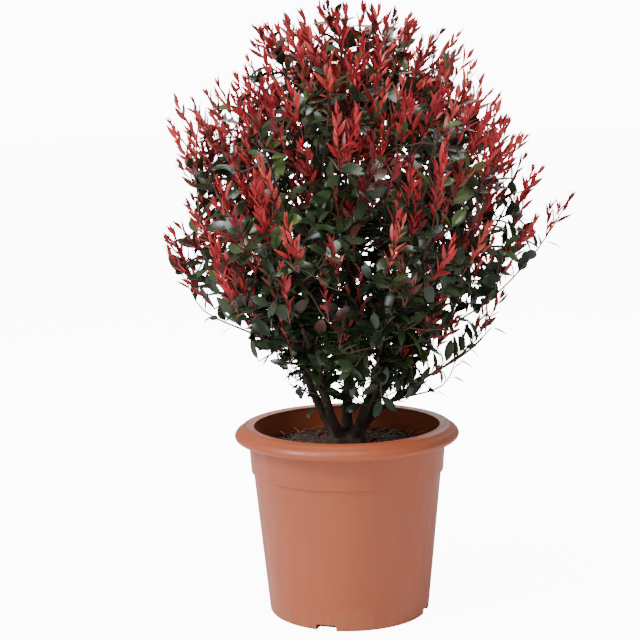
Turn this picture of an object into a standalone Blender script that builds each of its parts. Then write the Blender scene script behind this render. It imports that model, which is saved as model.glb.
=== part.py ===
"""Potted red tip photinia: a many-stemmed evergreen shrub in a round nursery pot.

Metres, +Z up. The origin is the centre of the pot's flat underside, and the
shrub's front faces -Y. Stems rise from one root crown, boughs fork from the
stems, and each bough or stem carries one mass of foliage in its own space.
"""
import math
import random

import bmesh
import bpy
import numpy as np
from mathutils import Matrix, Vector
from mathutils.geometry import interpolate_bezier

# Gap between pieces that touch on the real plant, and the sides of turned pieces
CLEARANCE = 0.0003
TURNED_SIDES = 44
MERGE_DISTANCE = 0.00001

# Pot: rolled rim, upper band, step, tapered body
POT_HEIGHT = 0.340
RIM_RADIUS = 0.2005
RIM_WIDTH = 0.022
RIM_UPPER = 0.018
RIM_LOWER = 0.009
RIM_TUCK = 0.010
RIM_UNDERCUT = 0.003
RIM_ROUNDING = 1.5
RIM_UPPER_STEPS = 5
RIM_LOWER_STEPS = 3
FLANGE_WIDTH = 0.0135
FLANGE_DROP = 0.002
BAND_TOP_RADIUS = 0.1762
BAND_FOOT_RADIUS = 0.1720
STEP_HEIGHT = 0.257
STEP_WIDTH = 0.004
STEP_DROP = 0.002
FOOT_RADIUS = 0.1435
FOOT_BEVEL = 0.0025
WALL = 0.0045
UPPER_WALL = 0.008
FLOOR = 0.005

# Drain notches cut through the foot of the wall
NOTCH_COUNT = 4
NOTCH_WIDTH = 0.036
NOTCH_HEIGHT = 0.011
NOTCH_DEPTH = 0.044
FIRST_NOTCH = math.radians(253)

# Compost that fills the pot
SOIL_HEIGHT = 0.300
SOIL_MOUND_RADIUS = 0.055
SOIL_FALL = 0.004

# Root crown: the low flared dome that the stems share, as shares of its neck and height
CROWN_FOOT_RADIUS = 0.036
CROWN_NECK_RADIUS = 0.029
CROWN_HEIGHT = 0.034
CROWN_DOME = ((0.0, 1.0), (0.55, 0.93), (0.90, 0.70), (1.0, 0.35))
CROWN_SIDES = 16

# Outline of the foliage: a cone that opens upwards to the widest height, then a dome
OUTLINE_RADIUS = 0.325
OUTLINE_POINT = 0.274
OUTLINE_WIDEST = 0.655
OUTLINE_TOP = 1.065
OUTLINE_CENTRE = (0.012, 0.0)
LOWEST_LEAF = 0.356

# Stems: one nearly upright in the centre, the others spread evenly round it
OUTER_STEMS = 5
FIRST_STEM = math.radians(18)
STEM_START_RADIUS = 0.014
STEM_START_HEIGHT = 0.307
STEM_LEAN = math.radians(36)
STEM_TIP_LEAN = math.radians(14)
STEM_TIP_HEIGHT = 0.665
STEM_TIP_SHARE = 0.47
CENTRE_TIP_HEIGHT = 0.84
CENTRE_FOOT_HEADING = (0.05, 0.04, 1.0)
CENTRE_TIP_HEADING = (-0.06, -0.02, 1.0)
STEM_FOOT_THICKNESS = 0.0088
STEM_TIP_THICKNESS = 0.0042
LIMB_STEPS = 9
STEM_RESOLUTION = 2

# Boughs fork from a stem and end where they enter their foliage
BOUGH_SHARE_OF_STEM = 0.62
BOUGH_TIP_THICKNESS = 0.0028
BOUGH_STEPS = 5
BOUGH_RESOLUTION = 1
BOUGH_RISE = 0.12
ENTRY_DISTANCE = 0.085
FORK_STAGGER = 0.022

# Rings of foliage: name, height, share of the outline's reach, number, first azimuth in
# degrees, and the height at which their boughs fork
RINGS = (
    ("low", 0.505, 0.70, 5, 4, 0.362),
    ("mid", 0.650, 0.74, 6, 0, 0.430),
    ("shoulder", 0.865, 0.66, 5, 43, 0.560),
    ("top", 0.960, 0.52, 3, 75, 0.640),
    ("heart", 0.690, 0.20, 1, 265, 0.500),
)
UPPER_HEIGHT = 0.790
UPPER_SHARE = 0.72
CROWN_SEED = (0.000, 0.000, 1.000)

# The long spray that leaves the foot of the shrub low on its right side
SPRAY_FORK = 0.333
SPRAY_ENTRY = (0.128, -0.034, 0.418)
SPRAY_SEED = (0.225, -0.045, 0.480)

# Shoots that stand out of the even outline
OUTLYING_TIPS = (
    (-0.023, 0.000, 1.078),
    (0.203, -0.020, 1.024),
    (-0.148, -0.020, 1.048),
    (-0.305, -0.030, 0.886),
    (0.330, -0.015, 0.850),
    (0.390, -0.020, 0.716),
    (-0.316, -0.030, 0.660),
    (0.288, -0.050, 0.565),
    (-0.216, -0.040, 0.514),
    (0.060, 0.300, 0.800),
    (-0.070, -0.290, 0.740),
)

# Twigs: how many leave a mass's stem and where, how they head, and their sizes
GOLDEN_ANGLE = math.radians(137.5)
TWIG_COUNT = 5
TWIG_SHARES = (0.14, 0.88)
TWIG_AHEAD = 0.45
TWIG_OUTWARD = 0.85
TWIG_RISE = 0.30
TWIG_TIP_RISE = 0.50
TWIG_LONGEST = 0.150
TWIG_SHORTEST = 0.022
TWIG_THICKNESS = 0.0023
TWIG_TIP_THICKNESS = 0.0013
TWIG_STEPS = 3
REACH_STEP = 0.005
MASS_STEM_STEPS = 5
MASS_STEM_RISE = 0.45
STRAIGHT_START = 0.008
OUTLYING_TWIG_SHARE = 0.35

# Leaves: length and width of each kind, where they stand on a twig, and how they spread
MATURE_LEAF = (0.092, 0.040)
YOUNG_LEAF = (0.074, 0.024)
YOUNG_HEIGHT = 0.60
LEAF_THICKNESS_SHARE = 0.02
LEAF_WIDEST_SHARE = 0.46
LEAVES_PER_TWIG = 3
LEAF_SHARES = (0.36, 0.86)
LEAF_SPREAD = 1.0
YOUNG_SPREAD = 0.45
TIP_SPREAD = 0.08
TIP_OVERLAP = 0.004
LEAF_UPWARD = 0.6
LEAF_ROLL = 0.5
LEAF_SMALLEST = 0.88
LEAF_ROOM = 0.026

# Tests that keep a mass in its own space and its leaves apart
LEAF_ATTEMPTS = 9
LEAF_SHRINK = 0.96
LEAF_GAP = 0.0065
SAMPLES_ALONG = (0.12, 0.25, 0.40, 0.55, 0.70, 0.85, 1.0)
SAMPLES_ACROSS = (-1.0, -0.5, 0.0, 0.5, 1.0)
SPACE_MARGIN = 0.0008
LIMB_MARGIN = 0.0035
SEED = 20

# Colours and roughness
FINISHES = {
    "terracotta_plastic": ((0.45, 0.12, 0.06), 0.45),
    "compost": ((0.045, 0.026, 0.016), 0.95),
    "bark": ((0.060, 0.030, 0.020), 0.80),
    "red_foliage": ((0.38, 0.03, 0.03), 0.45),
    "green_foliage": ((0.035, 0.075, 0.025), 0.40),
}


# Scene, collections and materials

def clear_scene():
    for item in list(bpy.data.objects):
        bpy.data.objects.remove(item)


def new_collection(name, parent):
    collection = bpy.data.collections.new(name)
    parent.children.link(collection)
    return collection


def make_finishes():
    made = {}
    for name, (colour, roughness) in FINISHES.items():
        material = bpy.data.materials.new(name)
        material.use_nodes = True
        shader = material.node_tree.nodes["Principled BSDF"]
        shader.inputs["Base Color"].default_value = (*colour, 1.0)
        shader.inputs["Roughness"].default_value = roughness
        shader.inputs["Metallic"].default_value = 0.0
        made[name] = material
    return made


def link_mesh(name, mesh, collection, material=None):
    item = bpy.data.objects.new(name, mesh)
    collection.objects.link(item)
    if material is not None:
        mesh.materials.clear()
        mesh.materials.append(material)
    return item


def as_cutter(item):
    item.hide_render = True
    item.display_type = "WIRE"
    return item


# Turned pieces

def turned(name, profile, sides, collection, material=None):
    """A profile of (radius, height) points turned once round the Z axis."""
    mesh = bpy.data.meshes.new(name)
    points = [(radius, 0.0, height) for radius, height in profile]
    edges = [(step, step + 1) for step in range(len(points) - 1)]
    mesh.from_pydata(points, edges, [])
    item = link_mesh(name, mesh, collection, material)
    screw = item.modifiers.new("turn", "SCREW")
    screw.steps = sides
    screw.render_steps = sides
    screw.use_merge_vertices = True
    screw.merge_threshold = MERGE_DISTANCE
    screw.use_smooth_shade = False
    return item


def crest_radius():
    return RIM_RADIUS - RIM_WIDTH


def rim_profile():
    """The rolled rim, from its crest out to its widest point and back under."""
    points = []
    for step in range(1, RIM_UPPER_STEPS + 1):
        angle = math.radians(90) * step / RIM_UPPER_STEPS
        across = math.sin(angle) ** (2 / RIM_ROUNDING)
        down = 1 - math.cos(angle) ** (2 / RIM_ROUNDING)
        points.append((crest_radius() + RIM_WIDTH * across, POT_HEIGHT - RIM_UPPER * down))
    for step in range(1, RIM_LOWER_STEPS + 1):
        angle = math.radians(90) * step / RIM_LOWER_STEPS
        inward = RIM_TUCK * (1 - math.cos(angle))
        points.append((RIM_RADIUS - inward, POT_HEIGHT - RIM_UPPER - RIM_LOWER * math.sin(angle)))
    return points


def inner_wall():
    """Radius and height of the pot's inner wall at its floor, its step and below its flange."""
    return (
        (FOOT_RADIUS - WALL, FLOOR),
        (BAND_FOOT_RADIUS - STEP_WIDTH - WALL, STEP_HEIGHT),
        (BAND_TOP_RADIUS - UPPER_WALL - FLANGE_DROP, POT_HEIGHT - 3 * FLANGE_DROP),
    )


def pot_profile():
    rim_foot = POT_HEIGHT - RIM_UPPER - RIM_LOWER + RIM_UNDERCUT
    points = [(0.0, FLOOR)]
    points += inner_wall()
    points.append((crest_radius() - FLANGE_WIDTH, POT_HEIGHT - FLANGE_DROP))
    points.append((crest_radius(), POT_HEIGHT))
    points += rim_profile()
    points.append((BAND_TOP_RADIUS, rim_foot))
    points.append((BAND_FOOT_RADIUS, STEP_HEIGHT))
    points.append((BAND_FOOT_RADIUS - STEP_WIDTH, STEP_HEIGHT - STEP_DROP))
    points.append((FOOT_RADIUS, FOOT_BEVEL))
    points.append((FOOT_RADIUS - FOOT_BEVEL, 0.0))
    points.append((0.0, 0.0))
    return points


def notch_cutter(collection):
    """Boxes that cut the drain notches, all in one mesh."""
    shape = bmesh.new()
    for number in range(NOTCH_COUNT):
        turn = FIRST_NOTCH + math.tau * number / NOTCH_COUNT
        size = Matrix.Diagonal((NOTCH_DEPTH, NOTCH_WIDTH, 2 * NOTCH_HEIGHT, 1.0))
        place = Matrix.Rotation(turn, 4, "Z") @ Matrix.Translation((FOOT_RADIUS, 0, 0))
        bmesh.ops.create_cube(shape, size=1.0, matrix=place @ size)
    mesh = bpy.data.meshes.new("notch_cutter")
    shape.to_mesh(mesh)
    shape.free()
    return as_cutter(link_mesh("notch_cutter", mesh, collection))


def make_pot(collection, cutters, material):
    pot = turned("pot", pot_profile(), TURNED_SIDES, collection, material)
    cut = pot.modifiers.new("notches", "BOOLEAN")
    cut.operation = "DIFFERENCE"
    cut.object = notch_cutter(cutters)
    return pot


def wall_radius_at(height):
    """The inner wall's radius at a height, between its turning points."""
    radii = [radius for radius, _ in inner_wall()]
    heights = [level for _, level in inner_wall()]
    return float(np.interp(height, heights, radii))


def make_compost(collection, material):
    """The root ball that fills the pot, level at the stems and lower at the wall."""
    edge_height = SOIL_HEIGHT - SOIL_FALL
    floor_height = FLOOR + CLEARANCE
    profile = [
        (0.0, SOIL_HEIGHT),
        (SOIL_MOUND_RADIUS, SOIL_HEIGHT),
        (wall_radius_at(edge_height) - CLEARANCE, edge_height),
        (wall_radius_at(STEP_HEIGHT) - CLEARANCE, STEP_HEIGHT),
        (wall_radius_at(floor_height) - CLEARANCE, floor_height),
        (0.0, floor_height),
    ]
    return turned("compost", profile, TURNED_SIDES, collection, material)


def root_crown_profile(grow):
    """A low flared dome on the compost; grow swells it on every side."""
    foot = SOIL_HEIGHT + CLEARANCE
    points = []
    for across, up in CROWN_DOME:
        radius = CROWN_NECK_RADIUS * across + grow if across > 0 else 0.0
        points.append((radius, foot + CROWN_HEIGHT * up + grow))
    points.append((CROWN_FOOT_RADIUS + grow, foot - grow))
    points.append((0.0, foot - grow))
    return points


# Limbs: tapering tubes along a smooth bend

class Limb:
    """One tapering limb: its axis points and its radius at each of them."""

    def __init__(self, name, points, foot_radius, tip_radius, resolution):
        self.name = name
        self.points = points
        last = len(points) - 1
        self.radii = [foot_radius + (tip_radius - foot_radius) * step / last
                      for step in range(len(points))]
        self.resolution = resolution

    def at_height(self, height):
        """Point and radius on the axis at a height."""
        heights = [point.z for point in self.points]
        columns = [[point[axis] for point in self.points] for axis in range(3)]
        place = Vector([float(np.interp(height, heights, column)) for column in columns])
        return place, float(np.interp(height, heights, self.radii))

    def tip(self):
        return self.points[-1]

    def tip_direction(self):
        return (self.points[-1] - self.points[-2]).normalized()


def bend(start, start_direction, end, end_direction, steps):
    """Points of one smooth bend from start to end."""
    reach = (end - start).length / 3
    first_handle = start + start_direction.normalized() * reach
    last_handle = end - end_direction.normalized() * reach
    return [Vector(point) for point in
            interpolate_bezier(start, first_handle, last_handle, end, steps)]


def tube_mesh(name, points, radii, resolution=0, section=None):
    """A closed mesh of a tapering tube, made from a curve with filled caps."""
    curve = bpy.data.curves.new(name, "CURVE")
    curve.dimensions = "3D"
    curve.use_fill_caps = True
    if section is None:
        curve.bevel_depth = 1.0
        curve.bevel_resolution = resolution
    else:
        curve.bevel_mode = "OBJECT"
        curve.bevel_object = section
    spline = curve.splines.new("POLY")
    spline.points.add(len(points) - 1)
    for spot, point, radius in zip(spline.points, points, radii):
        spot.co = (*point, 1.0)
        spot.radius = radius
    holder = bpy.data.objects.new(name, curve)
    bpy.context.scene.collection.objects.link(holder)
    evaluated = holder.evaluated_get(bpy.context.evaluated_depsgraph_get())
    mesh = bpy.data.meshes.new_from_object(evaluated)
    bpy.data.objects.remove(holder)
    bpy.data.curves.remove(curve)
    shape = bmesh.new()
    shape.from_mesh(mesh)
    bmesh.ops.remove_doubles(shape, verts=shape.verts, dist=MERGE_DISTANCE)
    bmesh.ops.recalc_face_normals(shape, faces=shape.faces)
    shape.to_mesh(mesh)
    shape.free()
    mesh.name = name
    return mesh


def make_limb(limb, collection, material, parent_cutter):
    """The limb as an object, cut clear of the limb or root crown it grows from."""
    mesh = tube_mesh(limb.name, limb.points, limb.radii, limb.resolution)
    item = link_mesh(limb.name, mesh, collection, material)
    cut = item.modifiers.new("clear_of_parent", "BOOLEAN")
    cut.operation = "DIFFERENCE"
    cut.object = parent_cutter
    return item


def limb_cutter(limb, cutters):
    """A slightly thicker copy of a limb, which its own boughs are cut clear of."""
    radii = [radius + CLEARANCE for radius in limb.radii]
    mesh = tube_mesh(limb.name + "_cutter", limb.points, radii, limb.resolution)
    return as_cutter(link_mesh(limb.name + "_cutter", mesh, cutters))


# Outline of the foliage

def outline_reach(height):
    """How far the foliage reaches from its centre line at a height."""
    if height <= OUTLINE_POINT or height >= OUTLINE_TOP:
        return 0.0
    if height < OUTLINE_WIDEST:
        return OUTLINE_RADIUS * (height - OUTLINE_POINT) / (OUTLINE_WIDEST - OUTLINE_POINT)
    share = (height - OUTLINE_WIDEST) / (OUTLINE_TOP - OUTLINE_WIDEST)
    return OUTLINE_RADIUS * math.sqrt(1 - share * share)


def outline_point(azimuth, height, share):
    """A point at a share of the outline's reach."""
    reach = outline_reach(height) * share
    return Vector((OUTLINE_CENTRE[0] + reach * math.cos(azimuth),
                   OUTLINE_CENTRE[1] + reach * math.sin(azimuth), height))


def inside_outline(point):
    across = math.hypot(point.x - OUTLINE_CENTRE[0], point.y - OUTLINE_CENTRE[1])
    return across <= outline_reach(point.z)


def leaning(azimuth, lean):
    """A unit direction that leans from upright towards an azimuth."""
    return Vector((math.sin(lean) * math.cos(azimuth), math.sin(lean) * math.sin(azimuth),
                   math.cos(lean)))


# Plan of the plant: its limbs, and the seed point of each foliage mass's space

class Mass:
    """One foliage mass: the limb that carries it and the seed point of its space."""

    def __init__(self, name, carrier, seed):
        self.name = name
        self.carrier = carrier
        self.seed = seed
        self.outlying = []


def plan_stems():
    """The centre stem and the outer stems, each one bend from the root crown."""
    centre_foot = Vector((0, 0, STEM_START_HEIGHT))
    centre_tip = Vector((OUTLINE_CENTRE[0], OUTLINE_CENTRE[1], CENTRE_TIP_HEIGHT))
    points = bend(centre_foot, Vector(CENTRE_FOOT_HEADING), centre_tip,
                  Vector(CENTRE_TIP_HEADING), LIMB_STEPS)
    stems = [Limb("stem_centre", points, STEM_FOOT_THICKNESS, STEM_TIP_THICKNESS,
                  STEM_RESOLUTION)]
    for number in range(OUTER_STEMS):
        azimuth = FIRST_STEM + math.tau * number / OUTER_STEMS
        foot = Vector((STEM_START_RADIUS * math.cos(azimuth),
                       STEM_START_RADIUS * math.sin(azimuth), STEM_START_HEIGHT))
        tip = outline_point(azimuth, STEM_TIP_HEIGHT, STEM_TIP_SHARE)
        points = bend(foot, leaning(azimuth, STEM_LEAN), tip,
                      leaning(azimuth, STEM_TIP_LEAN), LIMB_STEPS)
        stems.append(Limb(f"stem_{number + 1}", points, STEM_FOOT_THICKNESS,
                          STEM_TIP_THICKNESS, STEM_RESOLUTION))
    return stems


def nearest_stem(stems, azimuth):
    """The outer stem whose azimuth is nearest."""
    def turn_from(stem):
        own = math.atan2(stem.tip().y, stem.tip().x)
        return abs(math.remainder(own - azimuth, math.tau))
    return min(stems[1:], key=turn_from)


def plan_bough(name, stem, fork_height, entry, seed):
    """A bough that leaves a stem at the fork height and ends at the entry point."""
    fork, stem_radius = stem.at_height(fork_height)
    rising = (entry - fork).normalized() + Vector((0, 0, BOUGH_RISE))
    points = bend(fork, rising, entry, seed - entry, BOUGH_STEPS)
    return Limb(name, points, stem_radius * BOUGH_SHARE_OF_STEM, BOUGH_TIP_THICKNESS,
                BOUGH_RESOLUTION)


def plan_plant():
    """All stems and boughs, with the parent of each bough, and all foliage masses."""
    stems = plan_stems()
    boughs = []
    masses = [Mass("foliage_crown", stems[0], Vector(CROWN_SEED))]
    for number, stem in enumerate(stems[1:]):
        azimuth = FIRST_STEM + math.tau * number / OUTER_STEMS
        seed = outline_point(azimuth, UPPER_HEIGHT, UPPER_SHARE)
        masses.append(Mass(f"foliage_upper_{number + 1}", stem, seed))
    for ring, height, share, count, first, fork_height in RINGS:
        for number in range(count):
            azimuth = math.radians(first) + math.tau * number / count
            seed = outline_point(azimuth, height, share)
            stem = stems[0] if ring in ("top", "heart") else nearest_stem(stems, azimuth)
            fork_at = fork_height + FORK_STAGGER * (number % 2)
            if ring == "top":
                fork_at = fork_height + FORK_STAGGER * number
            fork = stem.at_height(fork_at)[0]
            entry = seed - (seed - fork).normalized() * ENTRY_DISTANCE
            bough = plan_bough(f"bough_{ring}_{number + 1}", stem, fork_at, entry, seed)
            boughs.append((bough, stem))
            masses.append(Mass(f"foliage_{ring}_{number + 1}", bough, seed))
    spray = plan_bough("bough_spray", stems[1], SPRAY_FORK, Vector(SPRAY_ENTRY),
                       Vector(SPRAY_SEED))
    boughs.append((spray, stems[1]))
    masses.append(Mass("foliage_spray", spray, Vector(SPRAY_SEED)))
    for place in OUTLYING_TIPS:
        tip = Vector(place)
        owner = min(masses, key=lambda mass: (mass.seed - tip).length)
        owner.outlying.append(tip)
    return stems, boughs, masses


# Space tests for twigs and leaves

class Space:
    """The convex space nearest to one mass's seed, clear of every limb."""

    def __init__(self, mass, masses, limbs):
        own = np.array(mass.seed)
        others = np.array([other.seed for other in masses if other is not mass])
        gaps = others - own
        spans = np.linalg.norm(gaps, axis=1)
        self.normals = gaps / spans[:, None]
        self.offsets = np.einsum("ij,ij->i", self.normals, (others + own) / 2)
        starts = []
        ends = []
        radii = []
        for limb in limbs:
            for step in range(len(limb.points) - 1):
                starts.append(limb.points[step])
                ends.append(limb.points[step + 1])
                radii.append(limb.radii[step])
        self.starts = np.array(starts)
        self.spans = np.array(ends) - self.starts
        self.lengths = np.einsum("ij,ij->i", self.spans, self.spans)
        self.radii = np.array(radii)

    def room(self, points):
        """Smallest distance from any point to the space's walls, negative outside."""
        walls = self.offsets[None, :] - np.asarray(points) @ self.normals.T
        return float(walls.min())

    def limb_gap(self, points):
        """Smallest distance from any point to any limb's surface."""
        spots = np.asarray(points)[:, None, :]
        along = np.einsum("psj,sj->ps", spots - self.starts[None], self.spans) / self.lengths
        nearest = self.starts[None] + np.clip(along, 0, 1)[:, :, None] * self.spans[None]
        gaps = np.linalg.norm(spots - nearest, axis=2) - self.radii[None]
        return float(gaps.min())

    def holds(self, points, margin, limb_margin):
        points = np.array(points)
        if points[:, 2].min() < LOWEST_LEAF:
            return False
        if self.room(points) < margin:
            return False
        return self.limb_gap(points) > limb_margin


def reach_in(space, start, direction, longest):
    """How far a straight twig can run from start before it leaves the space."""
    length = 0.0
    while length + REACH_STEP <= longest:
        place = start + direction * (length + REACH_STEP)
        if not inside_outline(place):
            break
        if not space.holds([place], SPACE_MARGIN + TWIG_THICKNESS, LIMB_MARGIN):
            break
        length += REACH_STEP
    return length


# Leaves and twigs

def leaf_mesh(name, length, width):
    """A thin pointed blade of eight faces along +X, with its root at the origin."""
    shape = bmesh.new()
    bmesh.ops.create_uvsphere(shape, u_segments=4, v_segments=2, radius=1.0)
    for corner in shape.verts:
        along = (corner.co.x + 1) / 2
        if 0.25 < along < 0.75:
            along = LEAF_WIDEST_SHARE
        corner.co.x = along * length
        corner.co.y *= width / 2
        corner.co.z *= length * LEAF_THICKNESS_SHARE / 2
    mesh = bpy.data.meshes.new(name)
    shape.to_mesh(mesh)
    shape.free()
    return mesh


def leaf_samples(size):
    """Points spread over a leaf, on which its clearance is measured."""
    length, width = size
    samples = []
    for along in SAMPLES_ALONG:
        if along < LEAF_WIDEST_SHARE:
            half = width / 2 * along / LEAF_WIDEST_SHARE
        else:
            half = width / 2 * (1 - along) / (1 - LEAF_WIDEST_SHARE)
        for side in SAMPLES_ACROSS:
            samples.append(Vector((along * length, side * half, 0.0)))
    return samples


def frame_along(direction, facing):
    """A rotation whose X runs along direction and whose Z leans towards facing."""
    across = facing.cross(direction)
    if across.length < 1e-4:
        across = direction.orthogonal()
    across.normalize()
    up = direction.cross(across).normalized()
    return Matrix((direction, across, up)).transposed().to_4x4()


def along(points, share):
    """Point and heading at a share of a chain of points."""
    scaled = share * (len(points) - 1)
    step = min(int(scaled), len(points) - 2)
    run = points[step + 1] - points[step]
    return points[step] + run * (scaled - step), run.normalized()


def spaced(ends, count):
    """A number of values spaced evenly between two ends, which are among them."""
    first, last = ends
    values = [first + (last - first) * number / (count - 1) for number in range(count - 1)]
    return values + [last]


def side_of(direction, azimuth):
    """A unit vector square to direction, turned round it by the azimuth."""
    first = direction.orthogonal().normalized()
    return Matrix.Rotation(azimuth, 3, direction) @ first


class Sprig:
    """The stem, twigs and leaves of one mass, as they are placed by the growing rule."""

    def __init__(self, mass, space, rng):
        self.mass = mass
        self.space = space
        self.rng = rng
        self.twigs = []
        self.leaves = []
        self.blades = []

    def grow(self):
        stem = self.stem_points()
        self.twigs.append((stem, BOUGH_TIP_THICKNESS, TWIG_THICKNESS))
        self.leaf_along(stem, self.rng.uniform(0, math.tau))
        turn = self.rng.uniform(0, math.tau)
        for share in spaced(TWIG_SHARES, TWIG_COUNT):
            place, heading = along(stem, share)
            turn += GOLDEN_ANGLE
            outward = side_of(heading, turn) * TWIG_OUTWARD
            direction = (heading * TWIG_AHEAD + outward + Vector((0, 0, TWIG_RISE))).normalized()
            longest = TWIG_LONGEST * self.rng.uniform(0.8, 1.0)
            reach = reach_in(self.space, place, direction, longest) - LEAF_ROOM
            if reach < TWIG_SHORTEST:
                continue
            self.add_twig(place, direction, place + direction * reach, turn)
        for tip in self.mass.outlying[1:]:
            place = along(stem, OUTLYING_TWIG_SHARE)[0]
            self.add_twig(place, tip - place, tip - self.leaf_reach(tip), turn)
            turn += GOLDEN_ANGLE

    def leaf_reach(self, tip):
        """What a twig stops short of its tip, so that its last leaf ends there."""
        outward = (tip - self.mass.seed).normalized() + Vector((0, 0, LEAF_UPWARD))
        return outward.normalized() * YOUNG_LEAF[0] * LEAF_SMALLEST

    def stem_points(self):
        """The mass's stem: from the carrier's tip, past the seed, to the outline."""
        carrier = self.mass.carrier
        heading = carrier.tip_direction()
        foot = carrier.tip() + heading * CLEARANCE
        start = foot + heading * STRAIGHT_START
        if self.mass.outlying:
            end = self.mass.outlying[0] - self.leaf_reach(self.mass.outlying[0])
            final = (end - self.mass.seed).normalized() + Vector((0, 0, TWIG_RISE))
        else:
            final = (self.mass.seed - start).normalized() + Vector((0, 0, MASS_STEM_RISE))
            final.normalize()
            reach = reach_in(self.space, self.mass.seed, final, TWIG_LONGEST)
            end = self.mass.seed + final * max(reach - LEAF_ROOM, TWIG_SHORTEST)
        return [foot] + bend(start, heading, end, final, MASS_STEM_STEPS)

    def add_twig(self, place, direction, end, turn):
        run = end - place
        final = run.normalized() + Vector((0, 0, TWIG_TIP_RISE))
        points = bend(place, direction.normalized(), end, final, TWIG_STEPS)
        margin = SPACE_MARGIN + TWIG_THICKNESS
        if not self.space.holds(points[1:], margin, LIMB_MARGIN):
            return
        self.twigs.append((points, TWIG_THICKNESS, TWIG_TIP_THICKNESS))
        self.leaf_along(points, turn)

    def leaf_along(self, points, turn):
        """Leaves round a twig by the golden angle, and one at its tip."""
        for share in spaced(LEAF_SHARES, LEAVES_PER_TWIG):
            place, heading = along(points, share)
            turn += GOLDEN_ANGLE
            young = place.z > YOUNG_HEIGHT and share == LEAF_SHARES[1]
            self.add_leaf(place, heading, turn, YOUNG_SPREAD if young else LEAF_SPREAD, young)
        place, heading = along(points, 1.0)
        young = place.z > YOUNG_HEIGHT
        self.add_leaf(place - heading * TIP_OVERLAP, heading, turn, TIP_SPREAD, young)

    @staticmethod
    def daylight(place):
        """The way out of the crown and up, which a leaf's upper side faces."""
        outward = Vector((place.x - OUTLINE_CENTRE[0], place.y - OUTLINE_CENTRE[1], 0))
        return outward.normalized() + Vector((0, 0, LEAF_UPWARD))

    def add_leaf(self, place, heading, turn, spread, young):
        """A leaf that fits the space, turned on round its twig or smaller where it must."""
        size = YOUNG_LEAF if young else MATURE_LEAF
        scale = self.rng.uniform(LEAF_SMALLEST, 1.0)
        for attempt in range(LEAF_ATTEMPTS):
            outward = side_of(heading, turn + GOLDEN_ANGLE * attempt)
            direction = (heading + outward * spread).normalized()
            roll = side_of(direction, self.rng.uniform(0, math.tau)) * LEAF_ROLL
            facing = self.daylight(place) + roll
            matrix = Matrix.Translation(place) @ frame_along(direction, facing)
            matrix = matrix @ Matrix.Diagonal((scale, scale, scale, 1.0))
            samples = [matrix @ point for point in leaf_samples(size)]
            blade = np.array(samples[len(SAMPLES_ACROSS):])
            if self.space.holds(samples, SPACE_MARGIN, LIMB_MARGIN) and self.is_apart(blade):
                self.leaves.append((matrix, young))
                self.blades.append(blade)
                return
            scale *= LEAF_SHRINK

    def is_apart(self, blade):
        """Whether a leaf stays clear of the leaves placed before it."""
        for other in self.blades:
            gaps = np.linalg.norm(blade[:, None, :] - other[None, :, :], axis=2)
            if gaps.min() < LEAF_GAP:
                return False
        return True


def triangle_section(collection):
    """The three-sided section of the twigs, as a closed flat curve of radius 1."""
    curve = bpy.data.curves.new("twig_section", "CURVE")
    curve.dimensions = "2D"
    spline = curve.splines.new("POLY")
    spline.points.add(2)
    spline.use_cyclic_u = True
    for number, spot in enumerate(spline.points):
        angle = math.tau * number / 3
        spot.co = (math.cos(angle), math.sin(angle), 0.0, 1.0)
    section = bpy.data.objects.new("twig_section", curve)
    collection.objects.link(section)
    return as_cutter(section)


def keep_main_body(mesh):
    """Drops loose scraps and sealed hollows, and keeps the largest closed body."""
    shape = bmesh.new()
    shape.from_mesh(mesh)
    unseen = set(shape.faces)
    bodies = []
    while unseen:
        body = {unseen.pop()}
        front = list(body)
        while front:
            for edge in front.pop().edges:
                for face in edge.link_faces:
                    if face in unseen:
                        unseen.discard(face)
                        body.add(face)
                        front.append(face)
        bodies.append(body)
    bodies.sort(key=lambda body: sum(face.calc_area() for face in body), reverse=True)
    scraps = [face for body in bodies[1:] for face in body]
    bmesh.ops.delete(shape, geom=scraps, context="FACES")
    loose = [corner for corner in shape.verts if not corner.link_faces]
    bmesh.ops.delete(shape, geom=loose, context="VERTS")
    bmesh.ops.triangulate(shape, faces=shape.faces)
    shape.to_mesh(mesh)
    shape.free()


def make_mass(sprig, section, leaves, collection, scene_collection, material):
    """All twigs and leaves of one mass, fused into one closed body."""
    pieces = new_collection(sprig.mass.name + "_pieces", scene_collection)
    meshes = []
    for points, foot, tip in sprig.twigs:
        last = len(points) - 1
        radii = [foot + (tip - foot) * step / last for step in range(last + 1)]
        meshes.append(tube_mesh(sprig.mass.name, points, radii, section=section))
    stem = link_mesh(sprig.mass.name, meshes[0], collection, material)
    for mesh in meshes[1:]:
        link_mesh("twig", mesh, pieces)
    for matrix, young in sprig.leaves:
        blade = bpy.data.objects.new("leaf", leaves[young])
        blade.matrix_world = matrix
        pieces.objects.link(blade)
    join = stem.modifiers.new("join", "BOOLEAN")
    join.operation = "UNION"
    join.operand_type = "COLLECTION"
    join.collection = pieces
    join.solver = "EXACT"
    evaluated = stem.evaluated_get(bpy.context.evaluated_depsgraph_get())
    fused = bpy.data.meshes.new_from_object(evaluated)
    stem.modifiers.remove(join)
    stem.data = fused
    fused.name = sprig.mass.name
    fused.materials.clear()
    fused.materials.append(material)
    for item in list(pieces.objects):
        bpy.data.objects.remove(item)
    bpy.data.collections.remove(pieces)
    keep_main_body(fused)
    return stem


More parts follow.
